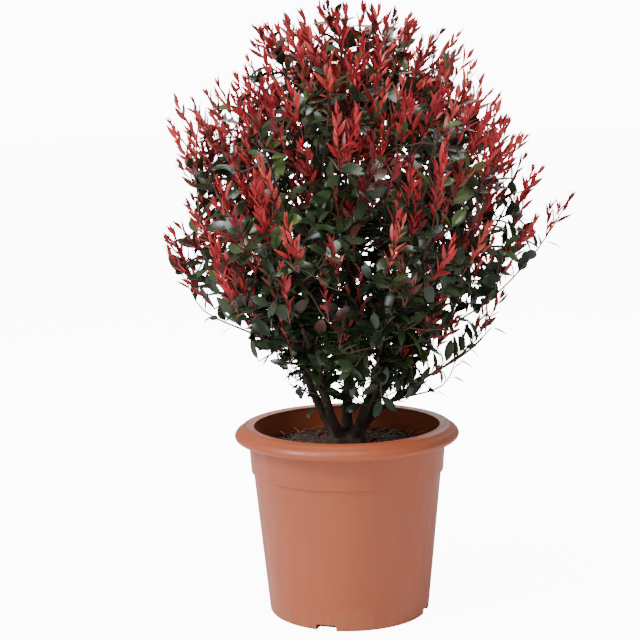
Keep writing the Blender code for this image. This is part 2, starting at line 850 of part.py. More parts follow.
def main():
    clear_scene()
    root = bpy.context.scene.collection
    plant = new_collection("potted_photinia", root)
    cutters = new_collection("cutters", root)
    finishes = make_finishes()

    make_pot(plant, cutters, finishes["terracotta_plastic"])
    make_compost(plant, finishes["compost"])
    turned("root_crown", root_crown_profile(0.0), CROWN_SIDES, plant, finishes["bark"])
    crown_cutter = as_cutter(turned("root_crown_cutter", root_crown_profile(CLEARANCE),
                                    CROWN_SIDES, cutters))

    stems, boughs, masses = plan_plant()
    stem_cutters = {}
    for stem in stems:
        make_limb(stem, plant, finishes["bark"], crown_cutter)
        stem_cutters[stem.name] = limb_cutter(stem, cutters)
    for bough, stem in boughs:
        make_limb(bough, plant, finishes["bark"], stem_cutters[stem.name])

    limbs = stems + [bough for bough, _ in boughs]
    section = triangle_section(cutters)
    leaves = (leaf_mesh("mature_leaf", *MATURE_LEAF), leaf_mesh("young_leaf", *YOUNG_LEAF))
    for number, mass in enumerate(masses):
        sprig = Sprig(mass, Space(mass, masses, limbs), random.Random(SEED + number))
        sprig.grow()
        finish = "red_foliage" if mass.seed.z > YOUNG_HEIGHT else "green_foliage"
        item = make_mass(sprig, section, leaves, plant, root, finishes[finish])
        print(f"{mass.name}: {len(sprig.twigs)} twigs, {len(sprig.leaves)} leaves, "
              f"{len(item.data.polygons)} faces")


main()
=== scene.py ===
# %% [markdown]
# # A potted red tip photinia
#
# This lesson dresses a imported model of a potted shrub. The model already has the right
# sizes: a pot, its compost, the stems and boughs, and one plain mass of foliage at the end
# of each bough. Here every one of them gets its real surface: a moulded pot, loose compost
# with litter on it, bark with relief, and thousands of leaves that grow by the same rule
# as the plain masses.
#
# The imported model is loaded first. Its pieces are in metres, with +Z up and the origin
# under the middle of the pot, so everything below is made straight where it belongs.

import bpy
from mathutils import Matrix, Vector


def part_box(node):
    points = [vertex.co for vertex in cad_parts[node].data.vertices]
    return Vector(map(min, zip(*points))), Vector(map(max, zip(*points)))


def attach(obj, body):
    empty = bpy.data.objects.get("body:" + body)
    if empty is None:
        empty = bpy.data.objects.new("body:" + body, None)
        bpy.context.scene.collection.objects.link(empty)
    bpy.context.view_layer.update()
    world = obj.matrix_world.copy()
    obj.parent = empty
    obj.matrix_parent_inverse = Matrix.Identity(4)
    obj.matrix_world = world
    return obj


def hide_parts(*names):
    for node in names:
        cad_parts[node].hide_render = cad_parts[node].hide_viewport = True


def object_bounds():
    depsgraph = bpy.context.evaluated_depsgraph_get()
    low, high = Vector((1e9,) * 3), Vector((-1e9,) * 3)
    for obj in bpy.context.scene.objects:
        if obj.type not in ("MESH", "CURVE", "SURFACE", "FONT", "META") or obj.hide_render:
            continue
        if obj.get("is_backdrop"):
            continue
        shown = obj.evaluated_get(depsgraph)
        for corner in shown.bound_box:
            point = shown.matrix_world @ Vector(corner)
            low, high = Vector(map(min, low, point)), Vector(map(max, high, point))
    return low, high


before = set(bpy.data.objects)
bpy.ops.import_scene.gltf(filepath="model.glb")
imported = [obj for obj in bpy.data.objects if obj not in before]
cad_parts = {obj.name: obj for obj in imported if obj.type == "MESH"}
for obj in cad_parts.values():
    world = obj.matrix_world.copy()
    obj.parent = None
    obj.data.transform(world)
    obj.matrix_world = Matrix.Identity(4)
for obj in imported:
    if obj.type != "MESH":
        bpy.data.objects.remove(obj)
cad_low, cad_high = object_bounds()
print("packed model:", len(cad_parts), "pieces,",
      [round(value, 3) for value in cad_high - cad_low], "m")

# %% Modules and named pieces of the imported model
import math
import random
from collections import namedtuple

import bmesh
import bpy
import numpy as np
from mathutils import Matrix, Vector, noise
from mathutils.geometry import interpolate_bezier

NODE_NAMES = sorted(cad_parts)
STEM_NODES = [name for name in NODE_NAMES if name.startswith(("stem_", "bough_"))]
FOLIAGE_NODES = [name for name in NODE_NAMES if name.startswith("foliage_")]
pot_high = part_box("pot")[1]
soil_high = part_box("compost")[1]
crown_low, crown_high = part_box("root_crown")
print(len(STEM_NODES), "limbs and", len(FOLIAGE_NODES), "masses of foliage to replace")

# %% [markdown]
# ## The camera
#
# The photograph was taken with a long lens from a little above the crown. The two ellipses
# of the pot, at its rim and at its foot, gave the distance and the tilt. A camera looks
# along its own -Z axis, so its rotation is built from three directions: right, up and back.

# %% Camera
IMAGE_SIZE = 640
CAMERA_PLACE = Vector((0.0, -2.806, 0.929))
CAMERA_LENS = 90.0
CAMERA_SENSOR = 36.0
CAMERA_PITCH = math.radians(8.18)
CAMERA_YAW = math.radians(-0.9)
CAMERA_ROLL = math.radians(1.1)


def camera_axes():
    """Right, up and forward of the camera, as unit vectors."""
    forward = Vector((math.sin(CAMERA_YAW) * math.cos(CAMERA_PITCH),
                      math.cos(CAMERA_YAW) * math.cos(CAMERA_PITCH),
                      -math.sin(CAMERA_PITCH)))
    right = Vector((math.cos(CAMERA_YAW), -math.sin(CAMERA_YAW), 0.0))
    roll = Matrix.Rotation(CAMERA_ROLL, 3, forward)
    right = roll @ right
    return right, right.cross(forward), forward


def make_camera():
    data = bpy.data.cameras.new("camera")
    data.lens = CAMERA_LENS
    data.sensor_width = CAMERA_SENSOR
    camera = bpy.data.objects.new("camera", data)
    bpy.context.scene.collection.objects.link(camera)
    right, up, forward = camera_axes()
    turn = Matrix((right, up, -forward)).transposed()
    camera.matrix_world = Matrix.Translation(CAMERA_PLACE) @ turn.to_4x4()
    bpy.context.scene.camera = camera


make_camera()
print("camera", round((CAMERA_PLACE - Vector((0, 0, pot_high.z))).length, 2), "m from the rim")

# %% [markdown]
# A pixel of the photograph is a ray from this camera. Where a shoot stands out of the
# crown, its tip is read from the photograph and put on an upright plane through the shrub.
# Pixels count from the upper left corner.

# %% From a pixel to a point
HIGHEST_TIP = (322, 3)


def photo_point(column, row, depth=0.0):
    """The point behind a pixel, on the upright plane at a depth along Y."""
    right, up, forward = camera_axes()
    focal = IMAGE_SIZE * CAMERA_LENS / CAMERA_SENSOR
    ray = (forward * focal + right * (column - IMAGE_SIZE / 2)
           + up * (IMAGE_SIZE / 2 - row))
    return CAMERA_PLACE + ray * ((depth - CAMERA_PLACE.y) / ray.y)


print("the highest shoot ends at", [round(value, 3) for value in photo_point(*HIGHEST_TIP)])

# %% [markdown]
# ## Small helpers for node trees
#
# Geometry trees and shader trees are both made of nodes and links. One function adds a
# node, sets it up and fills its inputs: a plain value is typed in, and a socket is linked.
# Many nodes carry several sockets of one name and use only one of them, so the helper
# picks the one in use.

# %% Node helpers
def pick_socket(sockets, name):
    """The socket in use with this name, or at this number."""
    if isinstance(name, int):
        return sockets[name]
    return next(socket for socket in sockets if socket.enabled and socket.name == name)


def add(tree, kind, inputs=None, **settings):
    node = tree.nodes.new(kind)
    for name, value in settings.items():
        setattr(node, name, value)
    for name, value in (inputs or {}).items():
        target = pick_socket(node.inputs, name)
        if isinstance(value, bpy.types.NodeSocket):
            tree.links.new(value, target)
        else:
            target.default_value = value
    return node


def out(node, name=None):
    """The node's first output in use, or the one with this name."""
    return next(socket for socket in node.outputs
                if socket.enabled and name in (None, socket.name))


def maths(tree, operation, *values):
    return out(add(tree, "ShaderNodeMath", dict(enumerate(values)), operation=operation))


def vectors(tree, operation, *values):
    return out(add(tree, "ShaderNodeVectorMath", dict(enumerate(values)), operation=operation))


def scaled(tree, vector, factor):
    node = add(tree, "ShaderNodeVectorMath", {"Vector": vector, "Scale": factor},
               operation="SCALE")
    return out(node)


def socket_kind(value):
    """The kind of socket that holds a value. A word names the kind itself."""
    if isinstance(value, str):
        return "NodeSocket" + value
    if isinstance(value, tuple):
        return "NodeSocketVector" if len(value) == 3 else "NodeSocketColor"
    return "NodeSocketInt" if isinstance(value, int) else "NodeSocketFloat"


def new_tree(name, kind, inputs, outputs):
    """A node group whose sockets have these names, and these values or kinds."""
    tree = bpy.data.node_groups.new(name, kind)
    for way, sockets in (("INPUT", inputs), ("OUTPUT", outputs)):
        for label, value in sockets.items():
            socket = tree.interface.new_socket(label, in_out=way, socket_type=socket_kind(value))
            if not isinstance(value, str):
                socket.default_value = value
    return tree, tree.nodes.new("NodeGroupInput"), tree.nodes.new("NodeGroupOutput")


def object_place(tree):
    return out(add(tree, "ShaderNodeTexCoord"), "Object")


def cloud(tree, place, scale, detail):
    """Soft noise around one half at each place."""
    return out(add(tree, "ShaderNodeTexNoise",
                   {"Vector": place, "Scale": scale, "Detail": detail}))


print("node helpers ready")

# %% [markdown]
# ## Shader effects that several materials share
#
# No real surface has one flat colour. Two effects repeat here, so each is a node group
# with its own inputs. The first lets a colour drift darker and lighter in soft patches.
# The second gives a height for fine relief, such as the pebbled skin of moulded plastic
# or the blistered upper side of a leaf. Both read Object coordinates, and all pieces sit
# at the origin, so the pattern is at the same scale everywhere.

# %% Colour drift
def colour_drift_group():
    tree, source, sink = new_tree(
        "colour_drift", "ShaderNodeTree",
        {"Colour": (0.5, 0.5, 0.5, 1.0), "Second Colour": (0.4, 0.4, 0.4, 1.0),
         "Scale": 20.0, "Contrast": 1.0, "Stretch": (1.0, 1.0, 1.0)},
        {"Colour": "Color", "Mask": "Float"})
    stretched = vectors(tree, "MULTIPLY", object_place(tree), out(source, "Stretch"))
    centred = maths(tree, "SUBTRACT", cloud(tree, stretched, out(source, "Scale"), 4.0), 0.5)
    spread = maths(tree, "MULTIPLY", centred, out(source, "Contrast"))
    mask = add(tree, "ShaderNodeMath", {0: spread, 1: 0.5}, operation="ADD", use_clamp=True)
    mix = add(tree, "ShaderNodeMix",
              {"Factor": out(mask), "A": out(source, "Colour"),
               "B": out(source, "Second Colour")}, data_type="RGBA")
    tree.links.new(out(mix), sink.inputs["Colour"])
    tree.links.new(out(mask), sink.inputs["Mask"])
    return tree


COLOUR_DRIFT = colour_drift_group()
print("shader group:", COLOUR_DRIFT.name)

# %% Fine relief
def fine_relief_group():
    tree, source, sink = new_tree(
        "fine_relief", "ShaderNodeTree",
        {"Scale": 400.0, "Coarse Scale": 60.0, "Coarse Share": 0.5,
         "Stretch": (1.0, 1.0, 1.0)},
        {"Height": "Float"})
    stretched = vectors(tree, "MULTIPLY", object_place(tree), out(source, "Stretch"))
    fine = cloud(tree, stretched, out(source, "Scale"), 2.0)
    coarse = cloud(tree, stretched, out(source, "Coarse Scale"), 3.0)
    height = add(tree, "ShaderNodeMix",
                 {"Factor": out(source, "Coarse Share"), "A": fine, "B": coarse})
    tree.links.new(out(height), sink.inputs["Height"])
    return tree


FINE_RELIEF = fine_relief_group()
print("shader group:", FINE_RELIEF.name)

# %% [markdown]
# Every material starts the same way: one Principled shader whose base colour comes from
# the drift, and whose normal comes from the relief through a Bump node. The numbers that
# are the same all over a surface are typed into the shader itself.

# %% A material from both effects
def shade(colour, factor):
    return tuple(channel * factor for channel in colour[:3])


def use_group(tree, group, inputs):
    node = tree.nodes.new("ShaderNodeGroup")
    node.node_tree = group
    for name, value in inputs.items():
        if isinstance(value, tuple) and len(value) == 3 and "Colour" in name:
            value = (*value, 1.0)
        node.inputs[name].default_value = value
    return node


def new_material(name, colour, second, roughness, drift, relief, bump, **constants):
    """A Principled material with drifting colour and fine relief.

    Drift and relief are inputs of the two groups, and bump is (strength, distance).
    """
    material = bpy.data.materials.new(name)
    material.use_nodes = True
    tree = material.node_tree
    shader = tree.nodes["Principled BSDF"]
    shader.inputs["Roughness"].default_value = roughness
    for label, value in constants.items():
        shader.inputs[label.replace("_", " ").title().replace("Ior", "IOR")].default_value = value
    tint = use_group(tree, COLOUR_DRIFT, {"Colour": colour, "Second Colour": second, **drift})
    tree.links.new(tint.outputs["Colour"], shader.inputs["Base Color"])
    height = use_group(tree, FINE_RELIEF, relief)
    strength, distance = bump
    bumped = add(tree, "ShaderNodeBump", {"Height": height.outputs["Height"],
                                          "Strength": strength, "Distance": distance})
    tree.links.new(out(bumped), shader.inputs["Normal"])
    return material


print("material recipe ready")

# %% [markdown]
# ## The pot
#
# A nursery pot is moulded plastic: one wall, turned round an axis. So it is one profile,
# written as corners with a rounding each, and a Screw modifier that turns it once round.
# Only the rolled rim needs a formula of its own: a curve between an ellipse and a diamond,
# which is flatter on its shoulder than a circle. The profile runs up the inside and down
# the outside, so that the faces point out.

# %% Sizes of the pot
POT_HEIGHT = pot_high.z
RIM_RADIUS = pot_high.x
RIM_WIDTH = 0.022
RIM_UPPER = 0.018
RIM_LOWER = 0.009
RIM_TUCK = 0.010
RIM_UNDERCUT = 0.003
RIM_ROUNDING = 1.5
RIM_STEPS = 16
BEAD_PLACE = 0.46
BEAD_WIDTH = 0.13
BEAD_DEPTH = 0.0007
FLANGE_WIDTH = 0.0135
FLANGE_DROP = 0.002
BAND_TOP_RADIUS = 0.1762
BAND_FOOT_RADIUS = 0.1720
STEP_HEIGHT = 0.257
STEP_WIDTH = 0.004
STEP_DROP = 0.002
FOOT_RADIUS = 0.1435
FOOT_BEVEL = 0.0025
WALL = 0.0045
UPPER_WALL = 0.008
FLOOR = 0.005
ARC_STEPS = 4
POT_SIDES = 144
print("pot", round(2 * RIM_RADIUS, 3), "m across and", round(POT_HEIGHT, 3), "m high")

# %% Profile of the pot
def rounded(corners):
    """A profile whose corners (radius, height, rounding) become short arcs."""
    points = []
    for number, (radius, height, rounding) in enumerate(corners):
        corner = Vector((radius, height))
        if rounding == 0:
            points.append(corner)
            continue
        before = Vector(corners[number - 1][:2]) - corner
        after = Vector(corners[number + 1][:2]) - corner
        start = corner + before.normalized() * min(rounding, before.length / 2)
        end = corner + after.normalized() * min(rounding, after.length / 2)
        for step in range(ARC_STEPS + 1):
            share = step / ARC_STEPS
            points.append(start * (1 - share) ** 2 + corner * 2 * share * (1 - share)
                          + end * share ** 2)
    return points


def rim_corners():
    """The rolled rim, from its crest out to its widest point and back under."""
    crest = RIM_RADIUS - RIM_WIDTH
    corners = []
    for step in range(1, RIM_STEPS + 1):
        share = step / RIM_STEPS
        angle = math.radians(90) * share
        across = math.sin(angle) ** (2 / RIM_ROUNDING)
        down = 1 - math.cos(angle) ** (2 / RIM_ROUNDING)
        groove = BEAD_DEPTH * math.exp(-((share - BEAD_PLACE) / BEAD_WIDTH) ** 2)
        corners.append((crest + RIM_WIDTH * across - groove,
                        POT_HEIGHT - RIM_UPPER * down - groove, 0))
    for step in range(1, RIM_STEPS // 2 + 1):
        angle = math.radians(90) * step / (RIM_STEPS // 2)
        corners.append((RIM_RADIUS - RIM_TUCK * (1 - math.cos(angle)),
                        POT_HEIGHT - RIM_UPPER - RIM_LOWER * math.sin(angle), 0))
    return corners


def pot_profile():
    """The whole wall as corners (radius, height, rounding), inside first."""
    crest = RIM_RADIUS - RIM_WIDTH
    rim_foot = POT_HEIGHT - RIM_UPPER - RIM_LOWER
    corners = [
        (0.0, FLOOR, 0),
        (FOOT_RADIUS - WALL, FLOOR, 0.004),
        (BAND_FOOT_RADIUS - STEP_WIDTH - WALL, STEP_HEIGHT, 0.002),
        (BAND_TOP_RADIUS - UPPER_WALL - FLANGE_DROP, POT_HEIGHT - 3 * FLANGE_DROP, 0.003),
        (crest - FLANGE_WIDTH, POT_HEIGHT - FLANGE_DROP, 0.002),
        (crest - RIM_UNDERCUT, POT_HEIGHT - FLANGE_DROP / 2, 0.002),
        (crest, POT_HEIGHT, 0),
        *rim_corners(),
        (RIM_RADIUS - RIM_TUCK - RIM_UNDERCUT, rim_foot + RIM_UNDERCUT / 2, 0.001),
        (BAND_TOP_RADIUS, rim_foot + RIM_UNDERCUT, 0.0015),
        (BAND_FOOT_RADIUS, STEP_HEIGHT, 0.0012),
        (BAND_FOOT_RADIUS - STEP_WIDTH, STEP_HEIGHT - STEP_DROP, 0.0010),
        (FOOT_RADIUS, FOOT_BEVEL, 0.0020),
        (FOOT_RADIUS - FOOT_BEVEL, 0.0, 0.0010),
        (0.0, 0.0, 0),
    ]
    return rounded(corners)


print(len(pot_profile()), "points in the profile")

# %% Turning and finishing helpers
MERGE_DISTANCE = 0.00001
SHARP_ANGLE = math.radians(38)


def link(name, mesh):
    item = bpy.data.objects.new(name, mesh)
    bpy.context.scene.collection.objects.link(item)
    return item


def mesh_from(shape, name):
    """The mesh of a bmesh that is no longer needed."""
    mesh = bpy.data.meshes.new(name)
    shape.to_mesh(mesh)
    shape.free()
    return mesh


def finish_with(item, material):
    """Gives an object its only material."""
    item.data.materials.clear()
    item.data.materials.append(material)


def turned(name, profile, sides):
    """An object whose profile of (radius, height) points turns once round Z."""
    mesh = bpy.data.meshes.new(name)
    points = [(radius, 0.0, height) for radius, height in profile]
    edges = [(step, step + 1) for step in range(len(points) - 1)]
    mesh.from_pydata(points, edges, [])
    item = link(name, mesh)
    screw = item.modifiers.new("turn", "SCREW")
    screw.steps = sides
    screw.render_steps = sides
    screw.use_merge_vertices = True
    screw.merge_threshold = MERGE_DISTANCE
    return item


def made_plain(item):
    """Replaces an object's modifiers by the mesh that they make."""
    evaluated = item.evaluated_get(bpy.context.evaluated_depsgraph_get())
    mesh = bpy.data.meshes.new_from_object(evaluated)
    mesh.name = item.name
    item.modifiers.clear()
    item.data = mesh
    return item


def smooth(item, angle=SHARP_ANGLE):
    item.data.shade_smooth()
    item.data.set_sharp_from_angle(angle=angle)
    return item


print("helpers ready")

# %% Turn the pot and cut its drain notches
NOTCH_COUNT = 4
NOTCH_WIDTH = 0.036
NOTCH_HEIGHT = 0.011
NOTCH_DEPTH = 0.044
FIRST_NOTCH = math.radians(253)
NOTCH_ROUNDING = 0.0025


def notch_cutter():
    """Boxes with rounded edges that cut the drain notches, all in one mesh."""
    shape = bmesh.new()
    for number in range(NOTCH_COUNT):
        turn = FIRST_NOTCH + math.tau * number / NOTCH_COUNT
        size = Matrix.Diagonal((NOTCH_DEPTH, NOTCH_WIDTH, 2 * NOTCH_HEIGHT, 1.0))
        place = Matrix.Rotation(turn, 4, "Z") @ Matrix.Translation((FOOT_RADIUS, 0, 0))
        bmesh.ops.create_cube(shape, size=1.0, matrix=place @ size)
    bmesh.ops.bevel(shape, geom=shape.edges, offset=NOTCH_ROUNDING, segments=2,
                    affect="EDGES", profile=0.5)
    return link("notch_cutter", mesh_from(shape, "notch_cutter"))


def make_pot():
    pot = turned("pot_shell", pot_profile(), POT_SIDES)
    cutter = notch_cutter()
    cut = pot.modifiers.new("notches", "BOOLEAN")
    cut.operation = "DIFFERENCE"
    cut.object = cutter
    made_plain(pot)
    bpy.data.objects.remove(cutter)
    return smooth(pot)


pot = make_pot()
print("pot:", len(pot.data.polygons), "faces,", NOTCH_COUNT, "notches")

# %% [markdown]
# The plastic is a satin terracotta colour, a little paler where it is scuffed and dusty.
# Its skin has the faint pebbles of the mould. The colour drifts slowly, because the
# pigment never mixes quite evenly, and a film of dried water and peat sits near the foot.

# %% Plastic of the pot
TERRACOTTA = (0.47, 0.110, 0.042)
TERRACOTTA_DEEP = (0.41, 0.092, 0.035)
DUST = (0.46, 0.22, 0.13)
DUST_HEIGHT = 0.05
DUST_SHARE = 0.45
POLISHED = 0.36
SCUFFED = 0.50


def plastic_material():
    material = new_material(
        "terracotta_plastic", TERRACOTTA, TERRACOTTA_DEEP, roughness=0.42,
        drift={"Scale": 9.0, "Contrast": 2.2, "Stretch": (1.0, 1.0, 0.35)},
        relief={"Scale": 900.0, "Coarse Scale": 120.0, "Coarse Share": 0.45},
        bump=(0.12, 0.0006))
    tree = material.node_tree
    shader = tree.nodes["Principled BSDF"]
    height = out(add(tree, "ShaderNodeSeparateXYZ", {"Vector": object_place(tree)}), "Z")
    low = add(tree, "ShaderNodeMapRange",
              {"Value": height, "From Min": DUST_HEIGHT, "From Max": 0.0,
               "To Max": DUST_SHARE})
    streaks = use_group(tree, COLOUR_DRIFT, {"Scale": 70.0, "Contrast": 3.0,
                                             "Stretch": (1.0, 1.0, 0.12)})
    film = maths(tree, "MULTIPLY", out(low), streaks.outputs["Mask"])
    base = shader.inputs["Base Color"].links[0].from_socket
    mix = add(tree, "ShaderNodeMix", {"Factor": film, "A": base, "B": (*DUST, 1.0)},
              data_type="RGBA")
    tree.links.new(out(mix), shader.inputs["Base Color"])
    rough = add(tree, "ShaderNodeMapRange",
                {"Value": streaks.outputs["Mask"], "To Min": POLISHED, "To Max": SCUFFED})
    tree.links.new(out(rough), shader.inputs["Roughness"])
    return material


finish_with(pot, plastic_material())
print("pot finished")

# %% [markdown]
# ## The compost
#
# What shows of the compost is a loose, dark, uneven surface a few centimetres under the
# rim. It is turned like the pot, with many rings on top, and then the top is lifted and
# lowered by fractal noise. The litter on it is scattered by Geometry Nodes.

# %% Compost surface
SOIL_LEVEL = soil_high.z
SOIL_RADIUS = 0.1625
SOIL_DEPTH = 0.05
SOIL_TAPER = 0.12
SOIL_RINGS = 56
SOIL_SIDES = 128
SOIL_FALL = 0.006
LUMP_SIZE = 0.018
LUMP_HEIGHT = 0.0035
CRUMB_SIZE = 0.005
CRUMB_HEIGHT = 0.0016
LUMP_SLICE = 0.3
CRUMB_SLICE = 7.1
FRACTAL_FADE = 1.0
FRACTAL_GAP = 2.0


def roughness_at(point, size, octaves):
    """Fractal noise at a point, in lumps of about this size."""
    return noise.fractal(point / size, FRACTAL_FADE, FRACTAL_GAP, octaves)


def soil_height(x, y):
    """Height of the compost at a place: a slight mound with lumps and crumbs."""
    fall = SOIL_FALL * (math.hypot(x, y) / SOIL_RADIUS) ** 2
    lumps = roughness_at(Vector((x, y, LUMP_SLICE)), LUMP_SIZE, 3)
    crumbs = roughness_at(Vector((x, y, CRUMB_SLICE)), CRUMB_SIZE, 2)
    return SOIL_LEVEL - fall + LUMP_HEIGHT * lumps + CRUMB_HEIGHT * crumbs


def make_compost():
    foot_radius = SOIL_RADIUS - SOIL_DEPTH * SOIL_TAPER
    profile = [(SOIL_RADIUS * ring / SOIL_RINGS, SOIL_LEVEL) for ring in range(SOIL_RINGS + 1)]
    profile += [(foot_radius, SOIL_LEVEL - SOIL_DEPTH), (0.0, SOIL_LEVEL - SOIL_DEPTH)]
    soil = made_plain(turned("compost_fill", profile, SOIL_SIDES))
    for corner in soil.data.vertices:
        if corner.co.z > SOIL_LEVEL - SOIL_DEPTH / 2:
            corner.co.z = soil_height(corner.co.x, corner.co.y)
    return smooth(soil)


compost = make_compost()
finish_with(compost, new_material(
    "compost", (0.020, 0.011, 0.007), (0.060, 0.030, 0.018), roughness=0.95,
    drift={"Scale": 130.0, "Contrast": 3.0},
    relief={"Scale": 700.0, "Coarse Scale": 220.0, "Coarse Share": 0.6},
    bump=(0.9, 0.002)))
print("compost:", len(compost.data.polygons), "faces")

# %% [markdown]
# One geometry tree scatters every kind of litter. Points are spread over the faces that
# look up, each point carries a copy of one small mesh, and each copy is turned and sized at
# random from a fixed seed. The copies are realized, because an export keeps no instances.

# %% Scatter tree
def finish_tree(tree, geometry, source, target):
    """The end of a tree: copies made real, with their material on them."""
    real = add(tree, "GeometryNodeRealizeInstances", {"Geometry": geometry})
    finished = add(tree, "GeometryNodeSetMaterial",
                   {"Geometry": out(real), "Material": out(source, "Finish")})
    tree.links.new(out(finished), target)


def scatter_tree():
    tree, source, sink = new_tree(
        "scatter", "GeometryNodeTree",
        {"Ground": "Geometry", "Piece": "Object", "Density": 1000.0, "Seed": 0,
         "Smallest": (0.5, 0.5, 0.5), "Largest": (1.0, 1.0, 1.0), "Tilt": 0.3, "Lift": 0.0,
         "Finish": "Material"},
        {"Litter": "Geometry"})
    normal = add(tree, "ShaderNodeSeparateXYZ",
                 {"Vector": out(add(tree, "GeometryNodeInputNormal"))})
    upward = add(tree, "FunctionNodeCompare", {"A": out(normal, "Z"), "B": 0.5},
                 operation="GREATER_THAN", data_type="FLOAT")
    seed = out(source, "Seed")
    spots = add(tree, "GeometryNodeDistributePointsOnFaces",
                {"Mesh": out(source, "Ground"), "Selection": out(upward),
                 "Density": out(source, "Density"), "Seed": seed})
    lift = add(tree, "ShaderNodeCombineXYZ", {"Z": out(source, "Lift")})
    raised = add(tree, "GeometryNodeSetPosition",
                 {"Geometry": out(spots, "Points"), "Offset": out(lift)})
    tilt = out(source, "Tilt")
    back = maths(tree, "MULTIPLY", tilt, -1.0)
    least = add(tree, "ShaderNodeCombineXYZ", {"X": back, "Y": back})
    most = add(tree, "ShaderNodeCombineXYZ", {"X": tilt, "Y": tilt, "Z": math.tau})
    angles = add(tree, "FunctionNodeRandomValue",
                 {"Min": out(least), "Max": out(most), "Seed": seed}, data_type="FLOAT_VECTOR")
    size = add(tree, "FunctionNodeRandomValue",
               {"Min": out(source, "Smallest"), "Max": out(source, "Largest"),
                "Seed": maths(tree, "ADD", seed, 1.0)}, data_type="FLOAT_VECTOR")
    piece = add(tree, "GeometryNodeObjectInfo", {"Object": out(source, "Piece")})
    copies = add(tree, "GeometryNodeInstanceOnPoints",
                 {"Points": out(raised), "Instance": out(piece, "Geometry"),
                  "Rotation": out(angles), "Scale": out(size)})
    finish_tree(tree, out(copies), source, sink.inputs["Litter"])
    return tree


def apply_tree(item, tree, values):
    """Runs a geometry tree on an object and keeps the plain mesh that it makes."""
    modifier = item.modifiers.new(tree.name, "NODES")
    modifier.node_group = tree
    for socket in tree.interface.items_tree:
        if socket.item_type == "SOCKET" and socket.name in values:
            modifier[socket.identifier] = values[socket.name]
    return made_plain(item)


SCATTER = scatter_tree()
print("geometry tree:", SCATTER.name)

# %% Small meshes of the litter
CHIP_JITTER = 0.28
CHIP_FLATNESS = 0.45
SCRAP_WIDTH = 0.42
SCRAP_THICKNESS = 0.03
SCRAP_ARCH = 0.315
SCRAP_CURL = 1.1
SORTING_DIRECTION = Vector((1.0, 0.37, 0.11))
FIBRE_RISE = 0.10
LITTER_SEED = 5


def chip_mesh():
    """A rough flat chip of bark, one unit long."""
    shape = bmesh.new()
    bmesh.ops.create_icosphere(shape, subdivisions=1, radius=0.5)
    rng = random.Random(LITTER_SEED)
    for corner in shape.verts:
        corner.co *= 1 + rng.uniform(-CHIP_JITTER, CHIP_JITTER)
        corner.co.z *= CHIP_FLATNESS
    return mesh_from(shape, "chip")


def tube_mesh(name, points, radius, sides):
    """A thin tube through some points, closed at both ends."""
    curve = bpy.data.curves.new(name, "CURVE")
    curve.dimensions = "3D"
    curve.use_fill_caps = True
    curve.bevel_depth = radius
    curve.bevel_resolution = (sides - 4) // 2
    spline = curve.splines.new("POLY")
    spline.points.add(len(points) - 1)
    for spot, point in zip(spline.points, points):
        spot.co = (*point, 1.0)
    holder = bpy.data.objects.new(name, curve)
    mesh = bpy.data.meshes.new_from_object(holder)
    bpy.data.objects.remove(holder)
    return mesh


def fibre_points(wave):
    """A bent fibre one unit long, higher at one end."""
    return [Vector((share - 0.5, wave * math.sin(3.0 * share + wave * 9),
                    FIBRE_RISE * math.sin(math.pi * share)))
            for share in (0, 0.2, 0.4, 0.6, 0.8, 1.0)]


def scrap_mesh():
    """A curled scrap of a fallen leaf, one unit long."""
    shape = bmesh.new()
    bmesh.ops.create_uvsphere(shape, u_segments=6, v_segments=6, radius=0.5,
                              matrix=Matrix.Rotation(math.radians(90), 4, "Y"))
    for corner in shape.verts:
        x, y = corner.co.x, corner.co.y
        corner.co.y *= SCRAP_WIDTH
        corner.co.z = (corner.co.z * SCRAP_THICKNESS + SCRAP_ARCH * x * x
                       + SCRAP_CURL * y * y)
    # The operator numbers a sphere's corners in no fixed order, so they are sorted
    shape.verts.sort(key=lambda corner: corner.co.dot(SORTING_DIRECTION))
    shape.faces.sort(key=lambda face: face.calc_center_median().dot(SORTING_DIRECTION))
    return mesh_from(shape, "scrap")


LITTER_MESHES = {
    "chip": chip_mesh(),
    "fibre": tube_mesh("fibre", fibre_points(0.16), 0.022, 4),
    "thread": tube_mesh("thread", fibre_points(-0.24), 0.012, 4),
    "scrap": scrap_mesh(),
}
print({name: len(mesh.polygons) for name, mesh in LITTER_MESHES.items()})

# %% Scatter the litter
# Each row: name, mesh, density, smallest, largest, tilt, lift, colour, second colour
LITTER = (
    ("bark_chips", "chip", 14000, (0.003, 0.002, 0.002), (0.010, 0.006, 0.005), 0.4, 0.0005,
     (0.035, 0.017, 0.011), (0.085, 0.040, 0.025)),
    ("red_chips", "chip", 900, (0.004, 0.003, 0.002), (0.013, 0.007, 0.005), 0.5, 0.001,
     (0.13, 0.035, 0.022), (0.20, 0.065, 0.035)),
    ("straw", "fibre", 1500, (0.012, 0.008, 0.02), (0.030, 0.020, 0.05), 0.35, 0.0015,
     (0.25, 0.15, 0.070), (0.12, 0.065, 0.032)),
    ("pale_roots", "thread", 500, (0.015, 0.010, 0.02), (0.045, 0.035, 0.09), 0.5, 0.002,
     (0.42, 0.30, 0.18), (0.24, 0.14, 0.08)),
    ("leaf_scraps", "scrap", 330, (0.012, 0.009, 0.012), (0.024, 0.018, 0.024), 0.7, 0.003,
     (0.16, 0.020, 0.024), (0.07, 0.013, 0.014)),
)


